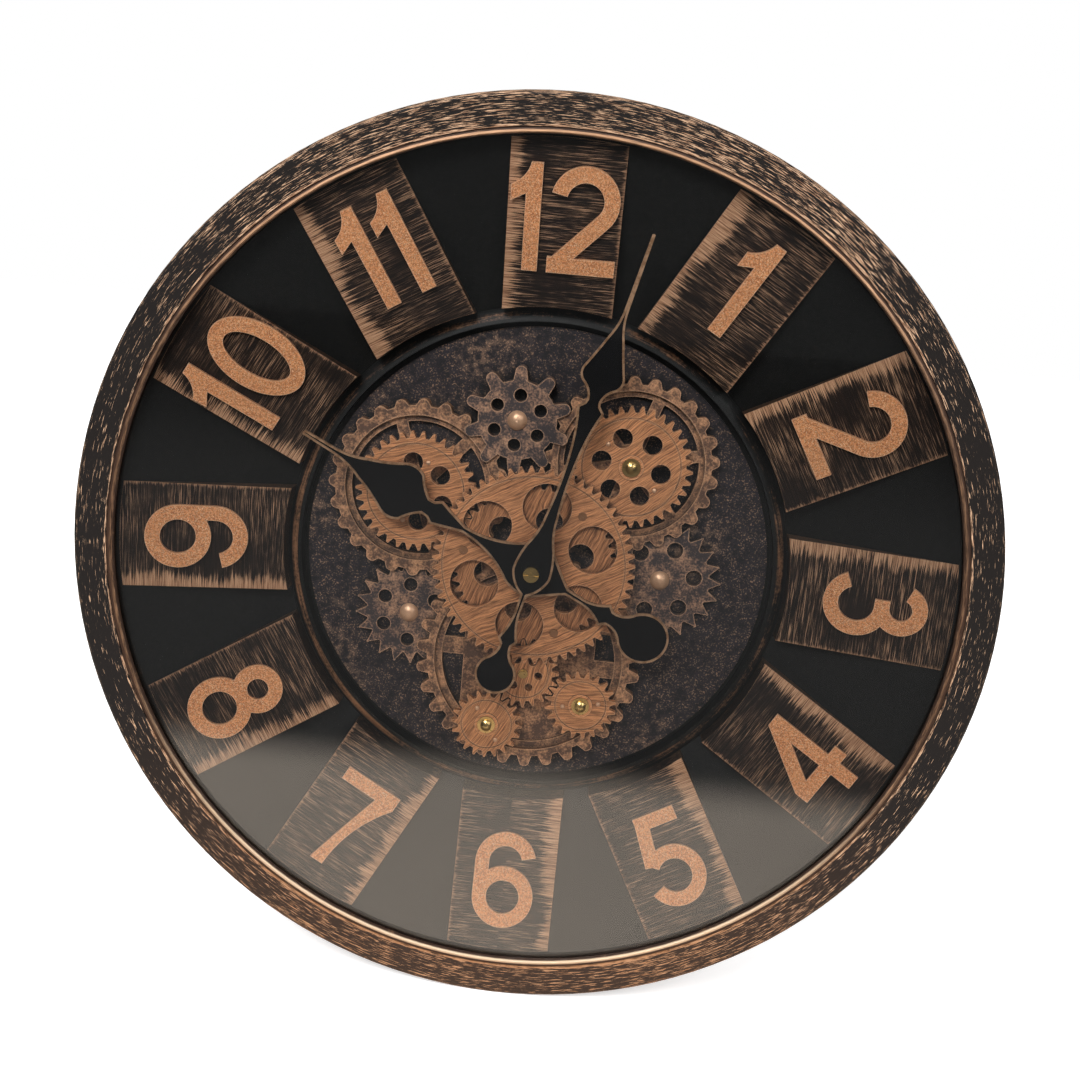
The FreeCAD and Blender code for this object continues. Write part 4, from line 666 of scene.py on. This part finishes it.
def rivet(name, centre, body):
    """A domed head on the front of a wheel that moves with its body."""
    shape = bmesh.new()
    rings = []
    for step in range(RIVET_RINGS):
        rise = math.pi / 2 * step / RIVET_RINGS
        rings.append([shape.verts.new(centre + offset(
            RIVET_RADIUS * math.cos(rise), RIVET_HEIGHT * math.sin(rise), math.tau * side / RIVET_SIDES))
            for side in range(RIVET_SIDES)])
    top = shape.verts.new(centre + offset(0.0, RIVET_HEIGHT, 0.0))
    shape.faces.new(rings[0][::-1])
    for side in range(RIVET_SIDES):
        after = (side + 1) % RIVET_SIDES
        for lower, upper in zip(rings, rings[1:]):
            shape.faces.new((lower[side], lower[after], upper[after], upper[side]))
        shape.faces.new((rings[-1][side], rings[-1][after], top))
    bmesh.ops.recalc_face_normals(shape, faces=shape.faces)
    mesh = bpy.data.meshes.new(name)
    shape.to_mesh(mesh)
    shape.free()
    mesh.shade_smooth()
    mesh.materials.append(pale_bronze)
    piece = bpy.data.objects.new(name, mesh)
    scene.collection.objects.link(piece)
    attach(piece, body)


for wheel, (body, first_angle, distance) in RIVETED_WHEELS.items():
    for angle in (first_angle, first_angle + 180):
        spot = wheel_front(wheel) + offset(distance, 0.0, math.radians(angle))
        rivet(f"{wheel}_rivet_{angle}", spot, body)

# Floor: white to the camera, pale to the glass near the clock, and it keeps the shadow
FLOOR_HALF = 6.0
PALE_FROM = (-0.44, -0.34)
LIFT_FROM = (0.15, 1.2)
LIFT_NEAR = 0.45


def floor_finish():
    """Ground that is lifted to white for the camera alone, more so farther back."""
    p = Paint("floor_finish")
    y = p.axes(p.place())[1]
    seen = p.add("ShaderNodeLightPath", output="Is Camera Ray")
    tone = p.blend(p.ramp(y, *PALE_FROM), FLOOR_DARK, FLOOR_PALE)
    p.set(Base_Color=p.blend(seen, tone, FLOOR_SEEN), Roughness=0.9, Emission_Color=WHITE)
    p.set(Emission_Strength=seen * p.scaled(y, *LIFT_FROM, first=LIFT_NEAR))
    return p.material


floor_mesh = bpy.data.meshes.new("floor")
floor_mesh.from_pydata(
    [(x * FLOOR_HALF, y * FLOOR_HALF, FLOOR_LEVEL) for x, y in ((-1, -1), (1, -1), (1, 1), (-1, 1))],
    [], [(0, 1, 2, 3)])
floor_mesh.materials.append(floor_finish())
floor = bpy.data.objects.new("floor", floor_mesh)
scene.collection.objects.link(floor)

# World: white behind the object, a dim room to its surfaces and a dimmer one to its mirrors
ROOM_LEVEL = 0.45
MIRROR_DIMMING = 0.38
world = bpy.data.worlds.new("studio")
scene.world = world
world.use_nodes = True
sky = Tree(world.node_tree)
background = sky.tree.nodes["Background"]
room = sky.scaled(sky.add("ShaderNodeLightPath", output="Is Camera Ray"), 0.0, 1.0, first=ROOM_LEVEL)
mirrored = sky.add("ShaderNodeLightPath", output="Is Glossy Ray")
sky.feed(background.inputs["Color"], WHITE)
sky.feed(background.inputs["Strength"], room - mirrored * MIRROR_DIMMING)


def area_light(name, place, size, power):
    """A soft box that looks at the clock."""
    lamp = bpy.data.lights.new(name, "AREA")
    lamp.shape = "RECTANGLE"
    lamp.size, lamp.size_y = size
    lamp.energy = power
    holder = bpy.data.objects.new(name, lamp)
    scene.collection.objects.link(holder)
    holder.location = place
    holder.rotation_mode = "QUATERNION"
    holder.rotation_quaternion = (-Vector(place)).to_track_quat("-Z", "Y")


area_light("key_light", place=(-0.7, -1.7, 1.5), size=(1.3, 1.0), power=96.0)
area_light("fill_light", place=(1.4, -1.6, 1.1), size=(1.2, 1.2), power=42.0)

# Camera
camera_data = bpy.data.cameras.new("camera")
camera = bpy.data.objects.new("camera", camera_data)
scene.collection.objects.link(camera)
scene.camera = camera
camera_data.sensor_width = SENSOR_WIDTH
camera_data.lens = FOCAL_PIXELS / FRAME_PIXELS * SENSOR_WIDTH
azimuth = math.radians(CAMERA_AZIMUTH)
elevation = math.radians(CAMERA_ELEVATION)
back = Vector((
    math.sin(azimuth) * math.cos(elevation), -math.cos(azimuth) * math.cos(elevation), math.sin(elevation)))
camera.location = CAMERA_TARGET + back * CAMERA_DISTANCE
camera.rotation_mode = "QUATERNION"
roll = Matrix.Rotation(math.radians(CAMERA_ROLL), 4, "Z").to_quaternion()
camera.rotation_quaternion = (-back).to_track_quat("-Z", "Y") @ roll

scene.view_settings.view_transform = "Standard"
